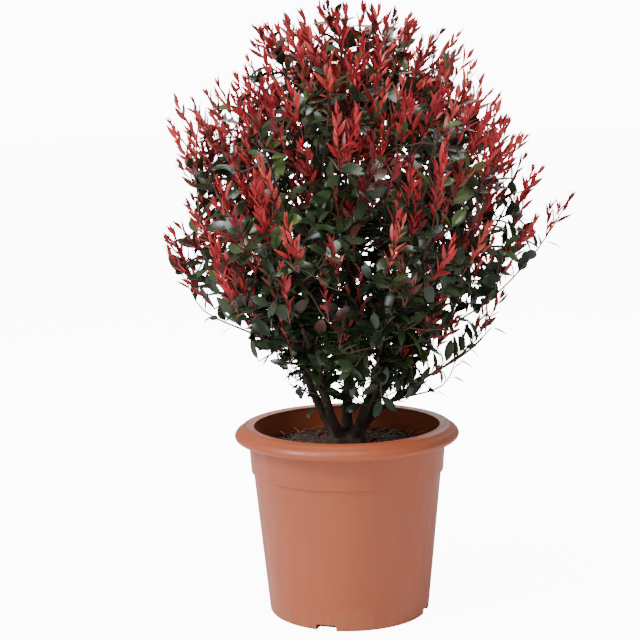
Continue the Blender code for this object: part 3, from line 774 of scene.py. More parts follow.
def scatter_litter(number, row):
    name, kind, density, smallest, largest, tilt, lift, colour, second = row
    prototype = link(kind + "_prototype", LITTER_MESHES[kind])
    finish = new_material(name, colour, second, roughness=0.85,
                          drift={"Scale": 160.0, "Contrast": 3.0},
                          relief={"Scale": 900.0, "Coarse Scale": 300.0}, bump=(0.5, 0.001))
    item = link(name, compost.data.copy())
    apply_tree(item, SCATTER, {
        "Piece": prototype, "Density": float(density), "Seed": LITTER_SEED + number,
        "Smallest": smallest, "Largest": largest, "Tilt": tilt, "Lift": lift,
        "Finish": finish})
    bpy.data.objects.remove(prototype)
    print(name, len(item.data.polygons), "faces")
    return item


litter = [scatter_litter(number, row) for number, row in enumerate(LITTER)]

# %% [markdown]
# ## The plan of the shrub
#
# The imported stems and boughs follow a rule, and the same rule is written again here, so
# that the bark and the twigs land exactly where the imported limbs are. Stems rise from one
# root crown and lean out. Boughs fork from them in rings. Each bough ends where its
# foliage begins, and each mass of foliage has a seed point in the middle of its space.
#
# The crown's outline is a cone that opens upwards under a dome. A real crown is never that
# even, so shallow hollows take something off the reach and leave it in clumps.

# %% Sizes of the plan
OUTLINE_RADIUS = 0.325
OUTLINE_POINT = 0.274
OUTLINE_WIDEST = 0.655
OUTLINE_TOP = 1.065
OUTLINE_CENTRE = (0.012, 0.0)
LOWEST_LEAF = 0.356
OUTER_STEMS = 5
FIRST_STEM = math.radians(18)
STEM_START_RADIUS = 0.014
STEM_START_HEIGHT = 0.307
STEM_LEAN = math.radians(36)
STEM_TIP_LEAN = math.radians(14)
STEM_TIP_HEIGHT = 0.665
STEM_TIP_SHARE = 0.47
CENTRE_TIP_HEIGHT = 0.84
CENTRE_FOOT_HEADING = (0.05, 0.04, 1.0)
CENTRE_TIP_HEADING = (-0.06, -0.02, 1.0)
STEM_FOOT_THICKNESS = 0.0088
STEM_TIP_THICKNESS = 0.0042
LIMB_STEPS = 9
BOUGH_SHARE_OF_STEM = 0.62
BOUGH_TIP_THICKNESS = 0.0028
BOUGH_STEPS = 5
BOUGH_RISE = 0.12
ENTRY_DISTANCE = 0.085
FORK_STAGGER = 0.022
RINGS = (
    ("low", 0.505, 0.70, 5, 4, 0.362),
    ("mid", 0.650, 0.74, 6, 0, 0.430),
    ("shoulder", 0.865, 0.66, 5, 43, 0.560),
    ("top", 0.960, 0.52, 3, 75, 0.640),
    ("heart", 0.690, 0.20, 1, 265, 0.500),
)
UPPER_HEIGHT = 0.790
UPPER_SHARE = 0.72
CROWN_SEED = (0.000, 0.000, 1.000)
SPRAY_FORK = 0.333
SPRAY_ENTRY = (0.128, -0.034, 0.418)
SPRAY_SEED = (0.225, -0.045, 0.480)
print(len(RINGS), "rings of boughs on", OUTER_STEMS + 1, "stems")

# %% Directions, bends and the outline of the crown
UP = Vector((0, 0, 1))
# Each hollow: azimuth in degrees, height, depth
HOLLOWS = (
    (180, 0.740, 0.062), (182, 0.965, 0.050), (5, 0.940, 0.028), (20, 0.560, 0.030),
    (95, 0.900, 0.040), (120, 0.700, 0.045), (60, 0.780, 0.040), (215, 0.900, 0.035),
    (250, 0.800, 0.035), (290, 0.930, 0.040), (315, 0.720, 0.035), (265, 0.600, 0.030),
)
HOLLOW_WIDTH = 0.42
HOLLOW_HEIGHT = 0.050
LEAST_REACH = 0.01
FAR_OUTSIDE = 9.0


def leaning(azimuth, lean):
    """A unit direction that leans from upright towards an azimuth."""
    return Vector((math.sin(lean) * math.cos(azimuth), math.sin(lean) * math.sin(azimuth),
                   math.cos(lean)))


def bend(start, start_direction, end, end_direction, steps):
    """Points of one smooth bend from start to end."""
    reach = (end - start).length / 3
    first_handle = start + start_direction.normalized() * reach
    last_handle = end - end_direction.normalized() * reach
    return [Vector(point) for point in
            interpolate_bezier(start, first_handle, last_handle, end, steps)]


def outline_reach(height):
    """How far the foliage reaches from its centre line: a cone, then a dome."""
    if height <= OUTLINE_POINT or height >= OUTLINE_TOP:
        return 0.0
    if height < OUTLINE_WIDEST:
        return OUTLINE_RADIUS * (height - OUTLINE_POINT) / (OUTLINE_WIDEST - OUTLINE_POINT)
    share = (height - OUTLINE_WIDEST) / (OUTLINE_TOP - OUTLINE_WIDEST)
    return OUTLINE_RADIUS * math.sqrt(1 - share * share)


def outline_point(azimuth, height, share):
    reach = outline_reach(height) * share
    return Vector((OUTLINE_CENTRE[0] + reach * math.cos(azimuth),
                   OUTLINE_CENTRE[1] + reach * math.sin(azimuth), height))


def hollow_depth(azimuth, height):
    """How much shorter the reach is there, because the crown has a hollow."""
    depth = 0.0
    for degrees, middle, deepest in HOLLOWS:
        turn = math.remainder(azimuth - math.radians(degrees), math.tau)
        depth += deepest * math.exp(-(turn / HOLLOW_WIDTH) ** 2
                                    - ((height - middle) / HOLLOW_HEIGHT) ** 2)
    return depth


def outline_share(point):
    """How far out a point is: 0 on the centre line, 1 on the outline."""
    reach = outline_reach(point.z)
    if reach == 0:
        return FAR_OUTSIDE
    x, y = point.x - OUTLINE_CENTRE[0], point.y - OUTLINE_CENTRE[1]
    hollow = hollow_depth(math.atan2(y, x), point.z)
    return math.hypot(x, y) / max(LEAST_REACH, reach - hollow)


def outward(point):
    """The level direction away from the centre line."""
    away = Vector((point.x - OUTLINE_CENTRE[0], point.y - OUTLINE_CENTRE[1], 0))
    return away.normalized() if away.length > 0.001 else Vector((1, 0, 0))


print("widest reach", outline_reach(OUTLINE_WIDEST), "m at", OUTLINE_WIDEST, "m")

# %% Limbs and masses
class Limb:
    """One tapering limb: its axis points and its radius at each of them."""

    def __init__(self, name, points, foot_radius, tip_radius):
        self.name = name
        self.points = points
        last = len(points) - 1
        self.radii = [foot_radius + (tip_radius - foot_radius) * step / last
                      for step in range(len(points))]

    def at_height(self, height):
        heights = [point.z for point in self.points]
        columns = [[point[axis] for point in self.points] for axis in range(3)]
        place = Vector([float(np.interp(height, heights, column)) for column in columns])
        return place, float(np.interp(height, heights, self.radii))

    def tip(self):
        return self.points[-1]

    def tip_direction(self):
        return (self.points[-1] - self.points[-2]).normalized()


# One mass of foliage: the limb that carries it and the seed point of its space
Mass = namedtuple("Mass", "name carrier seed")


def plan_stems():
    """The centre stem and the outer stems, each one bend from the root crown."""
    centre_foot = Vector((0, 0, STEM_START_HEIGHT))
    centre_tip = Vector((*OUTLINE_CENTRE, CENTRE_TIP_HEIGHT))
    points = bend(centre_foot, Vector(CENTRE_FOOT_HEADING), centre_tip,
                  Vector(CENTRE_TIP_HEADING), LIMB_STEPS)
    stems = [Limb("stem_centre", points, STEM_FOOT_THICKNESS, STEM_TIP_THICKNESS)]
    for number in range(OUTER_STEMS):
        azimuth = FIRST_STEM + math.tau * number / OUTER_STEMS
        foot = Vector((STEM_START_RADIUS * math.cos(azimuth),
                       STEM_START_RADIUS * math.sin(azimuth), STEM_START_HEIGHT))
        tip = outline_point(azimuth, STEM_TIP_HEIGHT, STEM_TIP_SHARE)
        points = bend(foot, leaning(azimuth, STEM_LEAN), tip,
                      leaning(azimuth, STEM_TIP_LEAN), LIMB_STEPS)
        stems.append(Limb(f"stem_{number + 1}", points, STEM_FOOT_THICKNESS,
                          STEM_TIP_THICKNESS))
    return stems


def nearest_stem(stems, azimuth):
    def turn_from(stem):
        own = math.atan2(stem.tip().y, stem.tip().x)
        return abs(math.remainder(own - azimuth, math.tau))
    return min(stems[1:], key=turn_from)


def plan_bough(name, stem, fork_height, entry, seed):
    """A bough that leaves a stem at the fork height and ends at the entry point."""
    fork, stem_radius = stem.at_height(fork_height)
    rising = (entry - fork).normalized() + Vector((0, 0, BOUGH_RISE))
    points = bend(fork, rising, entry, seed - entry, BOUGH_STEPS)
    return Limb(name, points, stem_radius * BOUGH_SHARE_OF_STEM, BOUGH_TIP_THICKNESS)


def plan_plant():
    """All stems and boughs and all masses of foliage."""
    stems = plan_stems()
    boughs = []
    masses = [Mass("foliage_crown", stems[0], Vector(CROWN_SEED))]
    for number, stem in enumerate(stems[1:]):
        azimuth = FIRST_STEM + math.tau * number / OUTER_STEMS
        seed = outline_point(azimuth, UPPER_HEIGHT, UPPER_SHARE)
        masses.append(Mass(f"foliage_upper_{number + 1}", stem, seed))
    for ring, height, share, count, first, fork_height in RINGS:
        for number in range(count):
            azimuth = math.radians(first) + math.tau * number / count
            seed = outline_point(azimuth, height, share)
            stem = stems[0] if ring in ("top", "heart") else nearest_stem(stems, azimuth)
            stagger = number if ring == "top" else number % 2
            fork_at = fork_height + FORK_STAGGER * stagger
            fork = stem.at_height(fork_at)[0]
            entry = seed - (seed - fork).normalized() * ENTRY_DISTANCE
            bough = plan_bough(f"bough_{ring}_{number + 1}", stem, fork_at, entry, seed)
            boughs.append(bough)
            masses.append(Mass(f"foliage_{ring}_{number + 1}", bough, seed))
    spray = plan_bough("bough_spray", stems[1], SPRAY_FORK, Vector(SPRAY_ENTRY),
                       Vector(SPRAY_SEED))
    boughs.append(spray)
    masses.append(Mass("foliage_spray", spray, Vector(SPRAY_SEED)))
    return stems, boughs, masses


stems, boughs, masses = plan_plant()
missing = {limb.name for limb in stems + boughs} ^ set(STEM_NODES)
print(len(stems), "stems,", len(boughs), "boughs,", len(masses), "masses")
print("limbs without a packed node, or the other way round:", len(missing))

# %% [markdown]
# ## Twigs, and where each leaf stands
#
# The growing rule goes on where a bough ends. The bough's axis runs on through its mass.
# Twigs leave it one after another, each turned on by the golden angle, as the buds of this
# shrub are. Each twig runs to the outline of the crown and bears twigs of its own. The end
# of a twig either stays green or makes a young red shoot, and shoots are rarer low down
# and inside the crown, where there is less light.
#
# Nothing is modelled yet. The rule only fills lists: lines for the twigs and spots for the
# leaves, each list with its own colour, so that a whole spray has one tint. A pair of
# numbers in brackets is the least and the most of something that is drawn at random.

# %% Sizes of the growth
GOLDEN_ANGLE = math.radians(137.5)
SEED = 20
TWIG_COUNT = 9
TWIG_SHARES = (0.06, 0.95)
TWIG_AHEAD = 0.45
TWIG_OUTWARD = 0.85
TWIG_RISE = 0.30
TWIG_LONGEST = 0.150
TWIG_THICKNESS = 0.0021
TWIG_TIP_THICKNESS = 0.0011
SHOOT_THICKNESS = 0.0013
SHOOT_TIP_THICKNESS = 0.0005
SPACE_MARGIN = 0.001
REACH_STEP = 0.006
SHOOT_LENGTHS = (0.060, 0.115)
SHOOT_SHORTEST = 0.028
SHOOT_OVERSHOOTS = (0.97, 1.09)
LEAF_OVERSHOOT = 1.03
LEAF_TRIES = 3
LEAF_STEP = 0.0125
YOUNG_LEAF_STEP = 0.0105
MATURE_LENGTHS = (0.036, 0.056)
MATURE_SLENDERNESS = 0.36
YOUNG_LENGTHS = (0.023, 0.038)
YOUNG_SLENDERNESS = 0.22
print("about", round(1 / LEAF_STEP), "leaves to a metre of twig")

# %% [markdown]
# Two masses must not grow into each other. Each keeps to the points that are nearer to its
# own seed point than to any other, and a twig stops where it would leave that room.

# %% The space of each mass
class Space:
    """The room that is nearer to one mass's seed than to any other's."""

    def __init__(self, mass):
        own = np.array(mass.seed)
        others = np.array([other.seed for other in masses if other is not mass])
        gaps = others - own
        self.normals = gaps / np.linalg.norm(gaps, axis=1)[:, None]
        self.offsets = np.einsum("ij,ij->i", self.normals, (others + own) / 2)

    def holds(self, point):
        if point.z < LOWEST_LEAF or outline_share(point) > 1:
            return False
        return float((self.offsets - self.normals @ np.array(point)).min()) > SPACE_MARGIN


def reach_in(space, start, direction, longest):
    """How far a straight twig can run from start before it leaves the space."""
    length = 0.0
    while length + REACH_STEP <= longest:
        if not space.holds(start + direction * (length + REACH_STEP)):
            break
        length += REACH_STEP
    return length


def outline_room(start, heading, longest, overshoot=1.0):
    """How long a shoot can be before it stands out of the crown's outline."""
    length = 0.0
    while length < longest and outline_share(start + heading * length) < overshoot:
        length += REACH_STEP
    return length


def along(points, share):
    """Point and heading at a share of a chain of points."""
    place = share * (len(points) - 1)
    step = min(int(place), len(points) - 2)
    run = points[step + 1] - points[step]
    return points[step] + run * (place - step), run.normalized()


def side_of(direction, azimuth):
    """A unit vector square to direction, turned round it by the azimuth."""
    first = direction.orthogonal().normalized()
    return Matrix.Rotation(azimuth, 3, direction) @ first


def spaced(ends, count):
    if count < 2:
        return [ends[1]]
    return [ends[0] + (ends[1] - ends[0]) * number / (count - 1) for number in range(count)]


def length_of(points):
    return sum((after - before).length for before, after in zip(points, points[1:]))


print("space helpers ready")

# %% [markdown]
# A leaf is noted as a spot: its root, the way it points and faces, its size, and how much
# it arches and folds. The tint is dealt out once for a whole spray, by its share.

# %% Leaf spots, and which tint a spray gets
class LeafSpot:
    """Where one leaf stands, how it points and faces, and its own size and curl."""

    def __init__(self, root, heading, face, length, width, arch, fold):
        across = face.cross(heading)
        if across.length < 0.001:
            across = heading.orthogonal()
        self.root = root
        self.heading = heading
        self.face = heading.cross(across.normalized())
        self.length = length
        self.width = width
        self.arch = arch
        self.fold = fold


MATURE_TINTS = (("leaves_dark", 0.56), ("leaves_green", 0.27), ("leaves_fresh", 0.08),
                ("leaves_bronze", 0.09))
YOUNG_TINTS = (("shoots_red", 0.46), ("shoots_deep", 0.28), ("shoots_coral", 0.16),
               ("shoots_bronze", 0.10))
leaf_spots = {name: [] for name, _ in MATURE_TINTS + YOUNG_TINTS}
twig_lines = {"woody_twigs": [], "green_twigs": [], "red_twigs": []}


def deal_tint(tints, rng):
    """One tint for a whole spray, dealt out by its share."""
    draw = rng.random()
    for name, share in tints:
        draw -= share
        if draw < 0:
            return name
    return tints[0][0]


def add_line(kind, points, foot, tip):
    last = len(points) - 1
    radii = [foot + (tip - foot) * step / last for step in range(last + 1)]
    twig_lines[kind].append((points, radii))


print(len(leaf_spots), "tints of leaves")

# %% Mature leaves
LEAF_AHEAD = 0.55
LEAF_SPREADS = (0.75, 1.35)
LEAF_OUTWARD = 0.25
LEAF_RISES = (-0.25, 0.35)
LEAF_SHORTENED = 0.75
FACE_AHEAD = 0.7
FACE_OUTWARD = 0.5
FACE_RISE = 0.9
FACE_TURN = 0.7
LEAF_WIDTHS = (0.88, 1.12)
LEAF_ARCHES = (0.08, 0.34)
LEAF_FOLDS = (0.10, 0.34)


def mature_leaf(tint, place, heading, turn, rng, size=1.0):
    """A grown leaf that stands off its twig, arches over and faces the light."""
    length = rng.uniform(*MATURE_LENGTHS) * size
    for attempt in range(LEAF_TRIES):
        side = side_of(heading, turn + GOLDEN_ANGLE * attempt)
        spread = rng.uniform(*LEAF_SPREADS)
        direction = (heading * LEAF_AHEAD + side * spread + outward(place) * LEAF_OUTWARD
                     + UP * rng.uniform(*LEAF_RISES)).normalized()
        if outline_share(place + direction * length) < LEAF_OVERSHOOT:
            break
    else:
        length *= LEAF_SHORTENED
    face = heading * FACE_AHEAD + outward(place) * FACE_OUTWARD + UP * FACE_RISE
    face += side_of(direction, rng.uniform(0, math.tau)) * rng.uniform(0, FACE_TURN)
    width = length * MATURE_SLENDERNESS * rng.uniform(*LEAF_WIDTHS)
    leaf_spots[tint].append(LeafSpot(place, direction, face, length, width,
                                     rng.uniform(*LEAF_ARCHES), rng.uniform(*LEAF_FOLDS)))


def leaves_along(tint, points, shares, turn, rng, size=1.0):
    """Mature leaves along a twig, each turned on by the golden angle."""
    run = length_of(points) * (shares[1] - shares[0])
    for share in spaced(shares, max(2, round(run / LEAF_STEP))):
        place, heading = along(points, share)
        turn += GOLDEN_ANGLE
        mature_leaf(tint, place, heading, turn, rng, size)


print("mature leaves are", MATURE_LENGTHS, "m long")

# %% [markdown]
# A young shoot is a thin red stalk with a slight bow. Its lower leaves spread, the upper
# ones stand up along it, and three small ones still close round the bud.

# %% Young shoots
SHOOT_BOW = 0.12
FOOT_BOW = 4
TIP_BOW = 3
SHOOT_STEPS = 6
FEWEST_YOUNG_LEAVES = 4
YOUNG_LEAF_SHARES = (0.16, 0.97)
YOUNG_SPREAD = 0.74
YOUNG_CLOSING = 0.54
YOUNG_SPREAD_JITTERS = (-0.10, 0.16)
YOUNG_RISE = 0.12
YOUNG_FACE_TURN = 0.35
YOUNG_LEAST_SIZE = 0.72
YOUNG_MORE_SIZE = 0.40
YOUNG_SIZE_PEAK = 0.8
YOUNG_WIDTHS = (0.85, 1.15)
YOUNG_ARCHES = (0.02, 0.22)
YOUNG_FOLDS = (0.25, 0.60)
BUD_LEAVES = 3
BUD_SHARE = 0.99
BUD_TURN = 2.1
BUD_SPREAD = 0.16
BUD_LENGTHS = (0.016, 0.024)
BUD_SLENDERNESS = 0.20
BUD_ARCH = 0.05
BUD_FOLD = 0.5


def young_leaf(tint, points, share, turn, rng):
    """A slim leaf, spread low on its shoot and nearly upright at the tip."""
    place, run = along(points, share)
    spread = YOUNG_SPREAD - YOUNG_CLOSING * share + rng.uniform(*YOUNG_SPREAD_JITTERS)
    direction = (run + side_of(run, turn) * spread + UP * YOUNG_RISE).normalized()
    face = run - direction * run.dot(direction)
    face += side_of(direction, rng.uniform(0, math.tau)) * YOUNG_FACE_TURN
    grown = math.sin(math.pi * share ** YOUNG_SIZE_PEAK)
    size = rng.uniform(*YOUNG_LENGTHS) * (YOUNG_LEAST_SIZE + YOUNG_MORE_SIZE * grown)
    width = size * YOUNG_SLENDERNESS * rng.uniform(*YOUNG_WIDTHS)
    leaf_spots[tint].append(LeafSpot(place, direction, face, size, width,
                                     rng.uniform(*YOUNG_ARCHES), rng.uniform(*YOUNG_FOLDS)))


def bud_leaf(tint, points, turn, rng):
    """One of the small leaves that still close round the bud at the tip."""
    place, run = along(points, BUD_SHARE)
    direction = (run + side_of(run, turn) * BUD_SPREAD).normalized()
    size = rng.uniform(*BUD_LENGTHS)
    leaf_spots[tint].append(LeafSpot(place, direction, side_of(direction, turn), size,
                                     size * BUD_SLENDERNESS, BUD_ARCH, BUD_FOLD))


def young_shoot(foot, heading, length, turn, rng, free=False):
    """A red shoot with its leaves. A free one may stand out of the outline."""
    tint = deal_tint(YOUNG_TINTS, rng)
    if not free:
        length = outline_room(foot, heading, length, rng.uniform(*SHOOT_OVERSHOOTS))
    if length < SHOOT_SHORTEST:
        return
    bow = side_of(heading, rng.uniform(0, math.tau)) * length * SHOOT_BOW
    tip = foot + heading * length
    points = bend(foot, heading + bow * FOOT_BOW, tip, heading - bow * TIP_BOW, SHOOT_STEPS)
    add_line("red_twigs", points, SHOOT_THICKNESS, SHOOT_TIP_THICKNESS)
    count = max(FEWEST_YOUNG_LEAVES, round(length / YOUNG_LEAF_STEP))
    for share in spaced(YOUNG_LEAF_SHARES, count):
        turn += GOLDEN_ANGLE
        young_leaf(tint, points, share, turn, rng)
    for number in range(BUD_LEAVES):
        bud_leaf(tint, points, turn + number * BUD_TURN, rng)


print("a young leaf every", YOUNG_LEAF_STEP, "m of a shoot, and", BUD_LEAVES, "at its bud")

# %% [markdown]
# Red shoots need light. So their chance rises with height and falls towards the inside of
# the crown, and each one stands up and leans a little out.

# %% How likely a red shoot is, and where it points
YOUNG_HEIGHTS = (0.44, 0.80)
YOUNG_CHANCES = (0.04, 0.96)
SHADED_SHARES = (0.35, 0.8)
SHADED_CHANCES = (0.35, 1.0)
ALL_LIT_HEIGHT = 0.93
SHOOT_OUTWARD = 0.55
FULL_LEAN_SHARE = 1.1
SHOOT_JITTER = 0.22


def young_chance(point):
    """How likely a twig that ends here makes a red shoot."""
    chance = float(np.interp(point.z, YOUNG_HEIGHTS, YOUNG_CHANCES))
    if point.z > ALL_LIT_HEIGHT:
        return chance
    return chance * float(np.interp(outline_share(point), SHADED_SHARES, SHADED_CHANCES))


def shoot_heading(point, rng):
    """Young shoots stand up, and lean out more towards the side of the crown."""
    lean = SHOOT_OUTWARD * min(outline_share(point), FULL_LEAN_SHARE)
    jitter = Vector((rng.uniform(-SHOOT_JITTER, SHOOT_JITTER),
                     rng.uniform(-SHOOT_JITTER, SHOOT_JITTER), 0))
    return (UP + outward(point) * lean + jitter).normalized()


print("chance of a red shoot:", YOUNG_CHANCES, "at heights", YOUNG_HEIGHTS)

# %% [markdown]
# A twig either ends in a red shoot or stays green up to its last leaves. A main twig also
# bears side twigs, which are made by the same function one level down.

# %% Twigs that branch
LINE_STEPS = 5
SHORTEST_RUN = 0.02
SHORT_RUN_SHARE = 0.3
SHOOT_SET_BACK = 0.8
SECOND_SHOOT_CHANCE = 0.55
SECOND_SHOOT_SHARES = (0.6, 0.9)
SECOND_SHOOT_SPLAYS = (0.3, 0.55)
SECOND_SHOOT_LENGTHS = (0.55, 0.85)
RED_TWIG_LEAVES = (0.30, 0.96)
GREEN_TWIG_LEAVES = (0.28, 1.0)
GREEN_TIP_SHARE = 0.84
GREEN_TIP_RISE = 0.5
END_LEAVES = 2
END_TURN = 2.4
END_LEAF_SIZE = 0.8
SHORTEST_BRANCHED = 0.06
LONG_TWIG = 0.10
SIDE_TWIG_SHARES = (0.30, 0.80)
SIDE_TWIG_AHEAD = 0.7
SIDE_TWIG_ASIDE = 0.75
SIDE_TWIG_RISE = 0.25
SIDE_TWIG_LENGTHS = (0.05, 0.09)


def red_ended(place, direction, reach, tint, turn, rng):
    """The axis of a twig that ends in a red shoot, or in two."""
    goal = place + direction * reach
    heading = shoot_heading(goal, rng)
    length = rng.uniform(*SHOOT_LENGTHS)
    foot = goal - heading * length * SHOOT_SET_BACK
    if (foot - place).length < SHORTEST_RUN or (foot - place).dot(direction) < 0:
        foot = place + direction * max(SHORTEST_RUN, reach * SHORT_RUN_SHARE)
    points = bend(place, direction, foot, heading, LINE_STEPS)
    young_shoot(foot, heading, length, turn, rng)
    if rng.random() < SECOND_SHOOT_CHANCE:
        start = along(points, rng.uniform(*SECOND_SHOOT_SHARES))[0]
        splay = heading + side_of(heading, turn) * rng.uniform(*SECOND_SHOOT_SPLAYS)
        young_shoot(start, splay.normalized(), length * rng.uniform(*SECOND_SHOOT_LENGTHS),
                    turn, rng)
    leaves_along(tint, points, RED_TWIG_LEAVES, turn, rng)
    return points


def green_ended(place, direction, reach, tint, turn, rng):
    """The axis of a twig that stays green up to the last leaves."""
    tip = place + direction * reach * GREEN_TIP_SHARE
    points = bend(place, direction, tip, direction + UP * GREEN_TIP_RISE, LINE_STEPS)
    leaves_along(tint, points, GREEN_TWIG_LEAVES, turn, rng)
    end, run = along(points, 1.0)
    for number in range(END_LEAVES):
        mature_leaf(tint, end, run, turn + number * END_TURN, rng, END_LEAF_SIZE)
    return points


def grow_twig(space, place, direction, reach, turn, rng, level):
    """A twig with its leaves, and on a main twig the side twigs that it bears."""
    tint = deal_tint(MATURE_TINTS, rng)
    is_red = rng.random() < young_chance(place + direction * reach)
    points = (red_ended if is_red else green_ended)(place, direction, reach, tint, turn, rng)
    add_line("woody_twigs" if level == 1 else "green_twigs", points,
             TWIG_THICKNESS / level ** 0.5, TWIG_TIP_THICKNESS)
    if level > 1 or reach < SHORTEST_BRANCHED:
        return
    for number, share in enumerate(spaced(SIDE_TWIG_SHARES, 2 + (reach > LONG_TWIG))):
        start, run = along(points, share)
        side = side_of(run, turn + GOLDEN_ANGLE * (number + 1))
        aim = (run * SIDE_TWIG_AHEAD + side * SIDE_TWIG_ASIDE
               + UP * SIDE_TWIG_RISE).normalized()
        room = reach_in(space, start, aim, rng.uniform(*SIDE_TWIG_LENGTHS))
        if room > SHORTEST_RUN:
            grow_twig(space, start, aim, room, turn + number, rng, level + 1)


print("side twigs stand at", SIDE_TWIG_SHARES, "of a main twig's length")

# %% [markdown]
# Now every mass grows, each from its own seed number. So one mass can be changed without a
# change in the others.

# %% Grow every mass
MASS_STEM_RISE = 0.45
MASS_STEM_SHARE = 0.6
MASS_TIP_SHARE = 0.4
MASS_STEM_STEPS = 7
MASS_STEM_LEAVES = (0.15, 1.0)
SHORTEST_TWIG = 0.03
TWIG_REACHES = (0.8, 1.0)


def grow_mass(number, mass):
    """The stem of one mass, its twigs, and the leaves on its own carrier."""
    rng = random.Random(SEED + number)
    space = Space(mass)
    start, heading = mass.carrier.tip(), mass.carrier.tip_direction()
    final = ((mass.seed - start).normalized() + UP * MASS_STEM_RISE).normalized()
    reach = reach_in(space, mass.seed, final, TWIG_LONGEST)
    end = mass.seed + final * max(reach * MASS_STEM_SHARE, SHORTEST_RUN)
    stem = bend(start, heading, end, final, MASS_STEM_STEPS)
    add_line("woody_twigs", stem, BOUGH_TIP_THICKNESS, TWIG_THICKNESS)
    leaves_along(deal_tint(MATURE_TINTS, rng), stem, MASS_STEM_LEAVES, 0.0, rng)
    grow_twig(space, end, final, max(reach * MASS_TIP_SHARE, SHORTEST_TWIG), 1.0, rng, 2)
    turn = rng.uniform(0, math.tau)
    for share in spaced(TWIG_SHARES, TWIG_COUNT):
        place, run = along(stem, share)
        turn += GOLDEN_ANGLE
        side = side_of(run, turn) * TWIG_OUTWARD
        aim = (run * TWIG_AHEAD + side + UP * TWIG_RISE).normalized()
        reach = reach_in(space, place, aim, TWIG_LONGEST * rng.uniform(*TWIG_REACHES))
        if reach > SHORTEST_TWIG:
            grow_twig(space, place, aim, reach, turn, rng, 1)


for number, mass in enumerate(masses):
    grow_mass(number, mass)
print({name: len(spots) for name, spots in leaf_spots.items()})
print({name: len(lines) for name, lines in twig_lines.items()})

# %% [markdown]
# Inside the crown the stems and boughs bear short leafy twigs of their own. They make the
# dark heart of the shrub, and reach nearly down to the rim.

# %% Short twigs on the stems and boughs
INNER_SEED = 10 * SEED
INNER_HEIGHTS = (0.368, 0.70)
INNER_STEP = 0.011
INNER_LENGTHS = (0.025, 0.060)
INNER_LEAF_SIZE = 0.80
INNER_TINTS = (("leaves_dark", 0.85), ("leaves_green", 0.15))
INNER_AHEAD = 0.35
INNER_RISE = 0.45
INNER_TIP_RISE = 0.4
INNER_STEPS = 4
INNER_LEAVES = (0.35, 1.0)
INNER_THICKNESS = 0.7


def grow_inner_twigs(number, limb):
    rng = random.Random(INNER_SEED + number)
    turn = rng.uniform(0, math.tau)
    for share in spaced((0.0, 1.0), max(2, round(length_of(limb.points) / INNER_STEP))):
        place, run = along(limb.points, share)
        turn += GOLDEN_ANGLE
        if not INNER_HEIGHTS[0] < place.z < INNER_HEIGHTS[1]:
            continue
        aim = (side_of(run, turn) + run * INNER_AHEAD + UP * INNER_RISE).normalized()
        end = place + aim * outline_room(place, aim, rng.uniform(*INNER_LENGTHS))
        points = bend(place, aim, end, aim + UP * INNER_TIP_RISE, INNER_STEPS)
        add_line("green_twigs", points, TWIG_THICKNESS * INNER_THICKNESS, TWIG_TIP_THICKNESS)
        leaves_along(deal_tint(INNER_TINTS, rng), points, INNER_LEAVES, turn, rng,
                     INNER_LEAF_SIZE)


for number, limb in enumerate(stems + boughs):
    grow_inner_twigs(number, limb)
print({name: len(lines) for name, lines in twig_lines.items()})

# %% [markdown]
# A few shoots give this shrub its own outline: the tallest one, those that reach out on the
# left, and the long one on the right. Their tips are read from the photograph. Each hangs
# on the nearest twig that is already there.

# %% Shoots at their places in the photograph
OUTLINE_TIPS = (
    HIGHEST_TIP, (331, 12), (298, 28), (254, 25), (264, 24), (245, 54), (246, 80), (370, 31),
    (393, 29), (411, 52), (437, 44), (461, 31), (463, 45), (476, 60), (494, 101), (487, 118),
    (516, 134), (528, 134), (535, 164), (527, 152), (174, 96), (191, 96), (168, 118),
    (176, 131), (178, 164), (200, 196), (219, 128), (240, 120), (176, 223), (165, 235),
    (166, 246), (505, 291), (490, 297), (468, 325),
)
TIP_DEPTHS = (-0.07, 0.05)
TIP_LENGTHS = (0.065, 0.100)
TIP_LEAF_SHARE = 0.7
ANCHOR_BELOW = 0.045
HUNG_TWIG_RISE = 0.01
HUNG_TWIG_STEPS = 6
HUNG_TWIG_LEAVES = (0.15, 1.0)
SHOOTS_SEED = 100 * SEED


def nearest_twig_point(place):
    """The nearest point of any twig so far that lies lower than a place."""
    points = [point for kind in ("woody_twigs", "green_twigs")
              for line, _ in twig_lines[kind] for point in line[1:]]
    lower = [point for point in points if point.z < place.z]
    return min(lower, key=lambda point: (point - place).length)


def hang_twig(foot, heading, rng):
    """A leafy twig from the nearest twig to the foot of a shoot."""
    start = nearest_twig_point(foot - heading * ANCHOR_BELOW)
    points = bend(start, foot - start + UP * HUNG_TWIG_RISE, foot, heading, HUNG_TWIG_STEPS)
    add_line("green_twigs", points, TWIG_THICKNESS, SHOOT_THICKNESS)
    leaves_along(deal_tint(MATURE_TINTS, rng), points, HUNG_TWIG_LEAVES, 0.0, rng)


def photo_shoots():
    rng = random.Random(SHOOTS_SEED)
    for column, row in OUTLINE_TIPS:
        tip = photo_point(column, row, rng.uniform(*TIP_DEPTHS))
        heading = shoot_heading(tip, rng)
        length = rng.uniform(*TIP_LENGTHS)
        foot = tip - heading * (length + YOUNG_LENGTHS[0] * TIP_LEAF_SHARE)
        hang_twig(foot, heading, rng)
        young_shoot(foot, heading, length, rng.uniform(0, math.tau), rng, free=True)


photo_shoots()
print(len(OUTLINE_TIPS), "shoots placed by the photograph")

# %% [markdown]
# One twig on the right reaches far past the crown, so its axis is followed pixel by pixel.

# %% The long twig that reaches out on the right
REACHING_TWIG = ((449, 326), (487, 303), (515, 276), (537, 250), (552, 228))
REACHING_DEPTH = -0.02
REACHING_LEAVES = (0.05, 0.85)
REACHING_LEAF_SIZE = 0.95
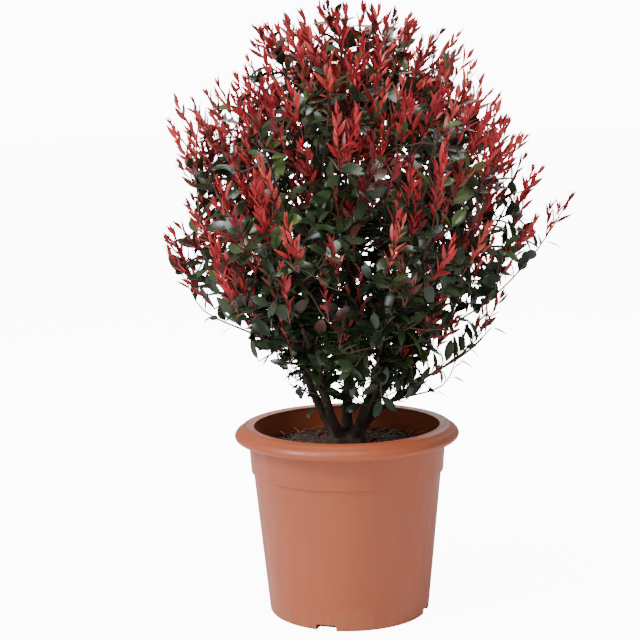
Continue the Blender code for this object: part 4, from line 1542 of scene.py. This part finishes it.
# Each shoot: column and row of its tip, length, how far along the last stretch it stands
REACHING_SHOOTS = ((566, 205, 0.055, 1.0), (557, 212, 0.050, 0.6), (548, 222, 0.045, 0.6))
REACHING_SEED = 1000 * SEED


def reaching_twig():
    rng = random.Random(REACHING_SEED)
    points = [photo_point(column, row, REACHING_DEPTH) for column, row in REACHING_TWIG]
    start = nearest_twig_point(points[0])
    add_line("woody_twigs", [start] + points, TWIG_THICKNESS, SHOOT_THICKNESS)
    leaves_along("leaves_dark", points, REACHING_LEAVES, 0.0, rng, REACHING_LEAF_SIZE)
    for column, row, length, share in REACHING_SHOOTS:
        foot = points[-2].lerp(points[-1], share)
        heading = (photo_point(column, row, REACHING_DEPTH) - foot).normalized()
        young_shoot(foot, heading, length, rng.uniform(0, 6), rng, free=True)


reaching_twig()
print("reaching twig placed")

# %% [markdown]
# ## One tree that turns lines into limbs
#
# A limb is a line with a thickness at each of its points. Geometry Nodes sweep a circle
# along the line, scaled by the thickness, and close both ends. The same tree makes bark:
# a noise that is stretched along the limb pushes the surface in and out. Thin twigs get
# four to six sides and no relief, and the stems get many sides and a relief of a
# millimetre or so.

# %% Tree for limbs and twigs
BARK_STRETCH = (1.0, 1.0, 0.22)
LUMP_SCALE = 45.0


def stored(tree, name, data_type):
    return out(add(tree, "GeometryNodeInputNamedAttribute", {"Name": name},
                   data_type=data_type))


def limb_tree():
    tree, source, sink = new_tree(
        "limbs", "GeometryNodeTree",
        {"Lines": "Geometry", "Sides": 5, "Step": 0.02, "Relief": 0.0, "Furrows": 300.0,
         "Lumps": 0.0, "Finish": "Material"},
        {"Limbs": "Geometry"})
    curve = add(tree, "GeometryNodeMeshToCurve", {"Mesh": out(source, "Lines")})
    fine = add(tree, "GeometryNodeResampleCurve",
               {"Curve": out(curve), "Length": out(source, "Step")}, mode="LENGTH")
    circle = add(tree, "GeometryNodeCurvePrimitiveCircle",
                 {"Resolution": out(source, "Sides"), "Radius": 1.0})
    tube = add(tree, "GeometryNodeCurveToMesh",
               {"Curve": out(fine), "Profile Curve": out(circle),
                "Scale": stored(tree, "thickness", "FLOAT"), "Fill Caps": True})
    place = out(add(tree, "GeometryNodeInputPosition"))
    stretched = vectors(tree, "MULTIPLY", place, BARK_STRETCH)
    ridge = maths(tree, "SUBTRACT", cloud(tree, stretched, out(source, "Furrows"), 3.0), 0.5)
    swell = maths(tree, "SUBTRACT", cloud(tree, place, LUMP_SCALE, 1.0), 0.5)
    push = maths(tree, "ADD", maths(tree, "MULTIPLY", ridge, out(source, "Relief")),
                 maths(tree, "MULTIPLY", swell, out(source, "Lumps")))
    normal = out(add(tree, "GeometryNodeInputNormal"))
    barked = add(tree, "GeometryNodeSetPosition",
                 {"Geometry": out(tube), "Offset": scaled(tree, normal, push)})
    smoothed = add(tree, "GeometryNodeSetShadeSmooth", {"Geometry": out(barked)})
    finish_tree(tree, out(smoothed), source, sink.inputs["Limbs"])
    return tree


LIMBS = limb_tree()


def lines_mesh(name, lines):
    """A mesh of bare edges whose points carry a thickness."""
    points = []
    edges = []
    radii = []
    for line, line_radii in lines:
        first = len(points)
        points += [tuple(point) for point in line]
        radii += line_radii
        edges += [(first + step, first + step + 1) for step in range(len(line) - 1)]
    mesh = bpy.data.meshes.new(name)
    mesh.from_pydata(points, edges, [])
    layer = mesh.attributes.new("thickness", "FLOAT", "POINT")
    layer.data.foreach_set("value", radii)
    return mesh


def make_limbs(name, lines, finish, **sizes):
    item = link(name, lines_mesh(name, lines))
    apply_tree(item, LIMBS, {"Finish": finish, **sizes})
    print(name, len(lines), "lines,", len(item.data.polygons), "faces")
    return item


print("geometry tree:", LIMBS.name)

# %% [markdown]
# Bark on young photinia wood is thin: dark reddish brown, finely furrowed, with greyer
# patches where it is older. Twigs of this year are green going brown, and the stalks of
# the young shoots are as red as their leaves.

# %% Bark, and the twigs of each kind
BARK = new_material(
    "bark", (0.030, 0.014, 0.010), (0.075, 0.046, 0.034), roughness=0.78,
    drift={"Scale": 90.0, "Contrast": 2.6, "Stretch": (1.0, 1.0, 0.25)},
    relief={"Scale": 600.0, "Coarse Scale": 180.0, "Stretch": (1.0, 1.0, 0.2)},
    bump=(0.7, 0.0012))
# Each kind: sides, step, colour, second colour, roughness, scale of its drift, bump
TWIGS = {
    "woody_twigs": (6, 0.022, (0.070, 0.036, 0.024), (0.115, 0.085, 0.050), 0.62, 60.0,
                    (0.3, 0.0006)),
    "green_twigs": (5, 0.022, (0.085, 0.080, 0.034), (0.125, 0.050, 0.030), 0.50, 40.0,
                    (0.2, 0.0005)),
    "red_twigs": (4, 0.020, (0.260, 0.026, 0.026), (0.150, 0.020, 0.022), 0.42, 40.0,
                  (0.2, 0.0005)),
}


def make_twigs(name):
    sides, step, colour, second, roughness, scale, bump = TWIGS[name]
    finish = new_material(name, colour, second, roughness=roughness,
                          drift={"Scale": scale, "Contrast": 2.5}, relief={"Scale": 700.0},
                          bump=bump)
    return make_limbs(name, twig_lines[name], finish, Sides=sides, Step=step)


print("kinds of twigs:", *TWIGS)

# %% [markdown]
# A stem swells where it meets the root crown, and a bough where it leaves its stem. Both
# swellings fade within a few centimetres.

# %% Stems and boughs with bark
COLLAR_LENGTH = 0.022
COLLAR_SWELL = 0.55
FOOT_SWELL = 0.45
FOOT_SWELL_HEIGHT = 0.030
LIMB_DETAIL = 26


def barked_line(limb, is_bough):
    """A limb's axis with more points, swollen where it leaves its parent."""
    points = []
    radii = []
    walked = 0.0
    for step in range(LIMB_DETAIL + 1):
        share = step / LIMB_DETAIL
        place = along(limb.points, share)[0]
        if points:
            walked += (place - points[-1]).length
        radius = limb.radii[0] + (limb.radii[-1] - limb.radii[0]) * share
        if is_bough:
            radius *= 1 + COLLAR_SWELL * math.exp(-(walked / COLLAR_LENGTH) ** 2)
        else:
            rise = max(0.0, place.z - crown_low.z)
            radius *= 1 + FOOT_SWELL * math.exp(-(rise / FOOT_SWELL_HEIGHT) ** 2)
        points.append(place)
        radii.append(radius)
    return points, radii


stem_piece = make_limbs("barked_stems", [barked_line(stem, False) for stem in stems], BARK,
                        Sides=22, Step=0.0035, Relief=0.0022, Furrows=420.0, Lumps=0.0035)
bough_piece = make_limbs("barked_boughs", [barked_line(bough, True) for bough in boughs],
                         BARK, Sides=14, Step=0.0045, Relief=0.0012, Furrows=520.0,
                         Lumps=0.0016)

# %% [markdown]
# The root crown is turned like the pot. Then its sides are drawn in between the stems, so
# that a lobe is left under each of them, and its skin is roughened.

# %% Root crown
CROWN_SIDES = 96
CROWN_RINGS = 18
CROWN_LOBE = 0.20
CROWN_RELIEF = 0.0022
CROWN_LUMP_SIZE = 0.012
CROWN_ROUNDNESS = 0.85
CROWN_FALL = 2.2
CROWN_FOOT_SHARE = 0.96
CROWN_SUNK = 0.006


def make_root_crown():
    """The low flared foot that the stems share, with a lobe under each of them."""
    foot_radius = crown_high.x
    height = crown_high.z - crown_low.z
    profile = [(0.0, crown_high.z)]
    for ring in range(1, CROWN_RINGS + 1):
        share = ring / CROWN_RINGS
        radius = foot_radius * math.sin(math.radians(90) * share) ** CROWN_ROUNDNESS
        profile.append((radius, crown_high.z - height * share ** CROWN_FALL))
    foot = crown_low.z - CROWN_SUNK
    profile += [(foot_radius * CROWN_FOOT_SHARE, foot), (0.0, foot)]
    item = made_plain(turned("root_flare", profile, CROWN_SIDES))
    for corner in item.data.vertices:
        azimuth = math.atan2(corner.co.y, corner.co.x)
        wave = math.cos(OUTER_STEMS * (azimuth - FIRST_STEM))
        across = math.hypot(corner.co.x, corner.co.y) / foot_radius
        grow = 1 - CROWN_LOBE * (1 - wave) / 2 * across
        rough = roughness_at(corner.co, CROWN_LUMP_SIZE, 3) * CROWN_RELIEF
        corner.co.x = corner.co.x * grow + rough * math.cos(azimuth) * across
        corner.co.y = corner.co.y * grow + rough * math.sin(azimuth) * across
        corner.co.z += rough * (1 - across)
    finish_with(item, BARK)
    return smooth(item)


root_crown = make_root_crown()
print("root crown:", len(root_crown.data.polygons), "faces")

# %% Twigs
twig_pieces = [make_twigs(name) for name in TWIGS]

# %% [markdown]
# ## One tree that turns spots into leaves
#
# A leaf could be a flat card, but a card has no edge, no fold and no thickness, and it
# vanishes when it is seen from the side. Here a leaf starts as a four-sided cylinder: its
# four long edges become the left edge, the midrib above, the right edge and the midrib
# below. A curve gives the half width along the leaf, from the thin stalk to the point.
#
# The tree puts this blade on every spot and makes the copies real. Then each copy is bent
# by the numbers that its spot carries: its length and width, how far it arches over, and
# how much its halves fold up from the midrib. The upper and the lower side get a material
# each, because the underside is paler and dull.

# %% Tree for leaves
MATURE_OUTLINE = ((0.0, 0.0), (0.02, 0.09), (0.12, 0.10), (0.22, 0.46), (0.36, 0.86),
                  (0.52, 1.0), (0.70, 0.88), (0.86, 0.52), (0.95, 0.20), (1.0, 0.0))
YOUNG_OUTLINE = ((0.0, 0.0), (0.02, 0.14), (0.08, 0.20), (0.22, 0.68), (0.40, 1.0),
                 (0.58, 0.92), (0.78, 0.58), (0.92, 0.22), (1.0, 0.0))
BLADE_SEGMENTS = 8
SHARP_BORDER = 0.95
TIP_MERGE = 0.0001
LEAF_THICKNESS = 0.00055


def store(tree, geometry, name, value, data_type, domain="POINT"):
    return out(add(tree, "GeometryNodeStoreNamedAttribute",
                   {"Geometry": geometry, "Name": name, "Value": value},
                   data_type=data_type, domain=domain))


def split(tree, vector):
    return add(tree, "ShaderNodeSeparateXYZ", {"Vector": vector})


def selected(tree, name, operation, limit):
    """Where a stored number is greater or less than a limit."""
    return out(add(tree, "FunctionNodeCompare",
                   {"A": stored(tree, name, "FLOAT"), "B": limit},
                   operation=operation, data_type="FLOAT"))


def leaf_tree(name, outline):
    tree, source, sink = new_tree(
        name, "GeometryNodeTree",
        {"Spots": "Geometry", "Segments": BLADE_SEGMENTS, "Thickness": LEAF_THICKNESS,
         "Upper Side": "Material", "Under Side": "Material"},
        {"Leaves": "Geometry"})
    tube = add(tree, "GeometryNodeMeshCylinder",
               {"Vertices": 4, "Side Segments": out(source, "Segments"), "Radius": 1.0,
                "Depth": 1.0}, fill_type="NONE")
    place = split(tree, out(add(tree, "GeometryNodeInputPosition")))
    run = maths(tree, "ADD", out(place, "Z"), 0.5)
    width = add(tree, "ShaderNodeFloatCurve", {"Value": run})
    points = width.mapping.curves[0].points
    points[0].location, points[1].location = outline[0], outline[-1]
    for spot in outline[1:-1]:
        points.new(*spot)
    width.mapping.update()
    # The blade is kept as three numbers: along, across and above
    across = maths(tree, "MULTIPLY", out(place, "X"), out(width))
    above = maths(tree, "MULTIPLY", out(place, "Y"), out(width))
    blade = add(tree, "ShaderNodeCombineXYZ", {"X": run, "Y": across, "Z": above})
    mesh = store(tree, out(tube, "Mesh"), "blade", out(blade), "FLOAT_VECTOR")
    border = maths(tree, "ABSOLUTE", out(place, "X"))
    mesh = store(tree, mesh, "border", border, "FLOAT")
    mesh = store(tree, mesh, "side", out(place, "Y"), "FLOAT")
    shaped = add(tree, "GeometryNodeSetPosition", {"Geometry": mesh, "Position": out(blade)})
    closed = add(tree, "GeometryNodeMergeByDistance",
                 {"Geometry": out(shaped), "Distance": TIP_MERGE})
    soft = add(tree, "GeometryNodeSetShadeSmooth", {"Geometry": out(closed)})
    on_border = selected(tree, "border", "GREATER_THAN", SHARP_BORDER)
    edged = add(tree, "GeometryNodeSetShadeSmooth",
                {"Geometry": out(soft), "Selection": on_border, "Shade Smooth": False},
                domain="EDGE")
    upper = add(tree, "GeometryNodeSetMaterial",
                {"Geometry": out(edged), "Material": out(source, "Upper Side")})
    below = selected(tree, "side", "LESS_THAN", 0.0)
    both = add(tree, "GeometryNodeSetMaterial",
               {"Geometry": out(upper), "Selection": below,
                "Material": out(source, "Under Side")})
    copies = add(tree, "GeometryNodeInstanceOnPoints",
                 {"Points": out(source, "Spots"), "Instance": out(both)})
    real = add(tree, "GeometryNodeRealizeInstances", {"Geometry": out(copies)})

    # Each real blade is laid out from its root along its own three directions
    kept = stored(tree, "blade", "FLOAT_VECTOR")
    part = split(tree, kept)
    position = out(add(tree, "GeometryNodeInputPosition"))
    root = vectors(tree, "SUBTRACT", position, kept)
    length = stored(tree, "length", "FLOAT")
    half = maths(tree, "MULTIPLY", stored(tree, "width", "FLOAT"), 0.5)
    heading = stored(tree, "heading", "FLOAT_VECTOR")
    face = stored(tree, "face", "FLOAT_VECTOR")
    sideways = vectors(tree, "CROSS_PRODUCT", face, heading)
    forward = scaled(tree, heading, maths(tree, "MULTIPLY", out(part, "X"), length))
    aside = scaled(tree, sideways, maths(tree, "MULTIPLY", out(part, "Y"), half))
    sag = maths(tree, "MULTIPLY", maths(tree, "POWER", out(part, "X"), 2.0),
                maths(tree, "MULTIPLY", stored(tree, "arch", "FLOAT"), length))
    fold = maths(tree, "MULTIPLY", maths(tree, "ABSOLUTE", out(part, "Y")),
                 maths(tree, "MULTIPLY", stored(tree, "fold", "FLOAT"), half))
    thick = maths(tree, "MULTIPLY", out(part, "Z"), out(source, "Thickness"))
    lift = maths(tree, "SUBTRACT", maths(tree, "ADD", fold, thick), sag)
    moved = vectors(tree, "ADD", vectors(tree, "ADD", root, forward),
                    vectors(tree, "ADD", aside, scaled(tree, face, lift)))
    laid = add(tree, "GeometryNodeSetPosition", {"Geometry": out(real), "Position": moved})
    flat = add(tree, "ShaderNodeCombineXYZ",
               {"X": maths(tree, "MULTIPLY_ADD", out(part, "Y"), 0.5, 0.5),
                "Y": out(part, "X")})
    mapped = store(tree, out(laid), "UVMap", out(flat), "FLOAT2", "CORNER")
    tree.links.new(mapped, sink.inputs["Leaves"])
    return tree


MATURE_LEAVES = leaf_tree("mature_leaves", MATURE_OUTLINE)
YOUNG_LEAVES = leaf_tree("young_leaves", YOUNG_OUTLINE)
print("geometry trees:", MATURE_LEAVES.name, "and", YOUNG_LEAVES.name)

# %% [markdown]
# The grown leaves are leathery and glossy, nearly black green in the shade, with lighter
# sprays among them and a few that are still bronze. The young ones run from coral to deep
# crimson. Each tint is a plain colour with a slight drift, and belongs to whole sprays.

# %% Leaf finishes
# Each tint: colour, second colour, roughness
LEAF_COLOURS = {
    "leaves_dark": ((0.012, 0.024, 0.010), (0.020, 0.038, 0.013), 0.28),
    "leaves_green": ((0.030, 0.054, 0.017), (0.044, 0.074, 0.021), 0.30),
    "leaves_fresh": ((0.085, 0.130, 0.026), (0.058, 0.092, 0.022), 0.34),
    "leaves_bronze": ((0.085, 0.022, 0.016), (0.036, 0.028, 0.014), 0.32),
    "shoots_red": ((0.560, 0.032, 0.040), (0.420, 0.018, 0.026), 0.36),
    "shoots_deep": ((0.300, 0.014, 0.022), (0.190, 0.009, 0.015), 0.34),
    "shoots_coral": ((0.680, 0.095, 0.075), (0.540, 0.048, 0.048), 0.38),
    "shoots_bronze": ((0.200, 0.040, 0.024), (0.105, 0.040, 0.020), 0.36),
}
UNDER_GREEN = (0.060, 0.082, 0.036)
UNDER_SHARE = 0.50
UNDER_ROUGHNESS = 0.62


def blend_colours(first, second, share):
    return tuple(a * (1 - share) + b * share for a, b in zip(first, second))


def make_leaves(name, spots):
    colour, second, roughness = LEAF_COLOURS[name]
    young = name.startswith("shoots")
    upper = new_material(name, colour, second, roughness=roughness,
                         drift={"Scale": 45.0, "Contrast": 2.4},
                         relief={"Scale": 650.0, "Coarse Scale": 160.0, "Coarse Share": 0.75},
                         bump=(0.35, 0.0012))
    paler = blend_colours(colour, shade(colour, 1.25) if young else UNDER_GREEN, UNDER_SHARE)
    under = new_material(name + "_under", paler, shade(paler, 0.8), roughness=UNDER_ROUGHNESS,
                         drift={"Scale": 45.0, "Contrast": 2.0},
                         relief={"Scale": 650.0, "Coarse Scale": 160.0}, bump=(0.2, 0.0008))
    mesh = bpy.data.meshes.new(name)
    mesh.from_pydata([tuple(spot.root) for spot in spots], [], [])
    for label in ("heading", "face"):
        layer = mesh.attributes.new(label, "FLOAT_VECTOR", "POINT")
        layer.data.foreach_set("vector", [v for spot in spots for v in getattr(spot, label)])
    for label in ("length", "width", "arch", "fold"):
        layer = mesh.attributes.new(label, "FLOAT", "POINT")
        layer.data.foreach_set("value", [getattr(spot, label) for spot in spots])
    item = link(name, mesh)
    apply_tree(item, YOUNG_LEAVES if young else MATURE_LEAVES,
               {"Thickness": LEAF_THICKNESS, "Upper Side": upper, "Under Side": under})
    triangles = sum(len(face.vertices) - 2 for face in item.data.polygons)
    print(name, len(spots), "leaves,", triangles, "triangles")
    return item


leaf_pieces = [make_leaves(name, spots) for name, spots in leaf_spots.items()]

# %% [markdown]
# ## Floor and light
#
# The photograph is a studio cut-out: white all round, with soft light from the upper left
# and from above, and a dim right side. Four area lights do that: a key, one overhead, a
# weak fill, and one behind that catches the edge of the crown. The floor is plain and
# pale, and is marked as stage. Floor and world look white to the camera, and give much
# less light than that.

# %% Floor, lights and world
FLOOR_SIZE = 60.0
# Each light: name, place, size, power
LIGHTS = (
    ("key_light", (-2.8, -1.9, 3.3), 1.6, 180.0),
    ("top_light", (-0.3, -0.9, 3.6), 1.6, 90.0),
    ("fill_light", (2.8, -1.6, 1.8), 2.4, 5.0),
    ("back_light", (0.6, 2.8, 2.6), 2.0, 50.0),
)
WORLD_LIGHT = 0.42
WORLD_SEEN = 12.0
FLOOR_GLOW = 11.0
LIGHT_TARGET = Vector((0.0, 0.0, 0.55))


def make_floor():
    bpy.ops.mesh.primitive_plane_add(size=FLOOR_SIZE)
    floor = bpy.context.object
    floor.name = "studio_floor"
    material = new_material(
        "studio_floor", (0.86, 0.86, 0.86), (0.83, 0.83, 0.83), roughness=0.9,
        drift={"Scale": 1.0}, relief={"Scale": 200.0}, bump=(0.02, 0.0005),
        emission_color=(1.0, 1.0, 1.0, 1.0))
    tree = material.node_tree
    seen = out(add(tree, "ShaderNodeLightPath"), "Is Camera Ray")
    tree.links.new(maths(tree, "MULTIPLY", seen, FLOOR_GLOW),
                   tree.nodes["Principled BSDF"].inputs["Emission Strength"])
    floor.data.materials.append(material)
    return floor


def make_light(name, place, size, power):
    data = bpy.data.lights.new(name, "AREA")
    data.size = size
    data.energy = power
    lamp = bpy.data.objects.new(name, data)
    lamp.location = place
    aim = LIGHT_TARGET - Vector(place)
    lamp.rotation_euler = aim.to_track_quat("-Z", "Y").to_euler()
    bpy.context.scene.collection.objects.link(lamp)


def make_world():
    """White all round: bright where the camera sees it, softer as a light."""
    world = bpy.data.worlds.new("studio")
    world.use_nodes = True
    tree = world.node_tree
    backdrop = tree.nodes["Background"]
    backdrop.inputs["Color"].default_value = (1.0, 1.0, 1.0, 1.0)
    seen = out(add(tree, "ShaderNodeLightPath"), "Is Camera Ray")
    strength = maths(tree, "MULTIPLY_ADD", seen, WORLD_SEEN - WORLD_LIGHT, WORLD_LIGHT)
    tree.links.new(strength, backdrop.inputs["Strength"])
    bpy.context.scene.world = world


studio_floor = make_floor()
studio_floor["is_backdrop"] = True
for row in LIGHTS:
    make_light(*row)
make_world()
print(len(LIGHTS), "lights")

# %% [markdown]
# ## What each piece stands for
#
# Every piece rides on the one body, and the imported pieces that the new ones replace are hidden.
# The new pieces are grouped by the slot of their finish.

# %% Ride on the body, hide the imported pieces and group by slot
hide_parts("pot")
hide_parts("compost")
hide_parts("root_crown")
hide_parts(*[name for name in STEM_NODES if name.startswith("stem_")])
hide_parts(*[name for name in STEM_NODES if name.startswith("bough_")])
SLOTS = {"pot": [pot], "compost": [compost] + litter,
         "bark": [root_crown, stem_piece, bough_piece, *twig_pieces],
         "green_foliage": leaf_pieces[:4], "red_foliage": leaf_pieces[4:]}
for piece in leaf_pieces:
    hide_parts(*FOLIAGE_NODES)
for slot_name, group in SLOTS.items():
    for piece in group:
        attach(piece, "root")
print({name: len(group) for name, group in SLOTS.items()})

# %% [markdown]
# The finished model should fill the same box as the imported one. Both boxes are written
# down, so that they can be compared.

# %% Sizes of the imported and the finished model
new_low, new_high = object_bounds()
for name, low, high in (("packed", cad_low, cad_high), ("finished", new_low, new_high)):
    print(name, [round(value, 3) for value in low], [round(value, 3) for value in high])
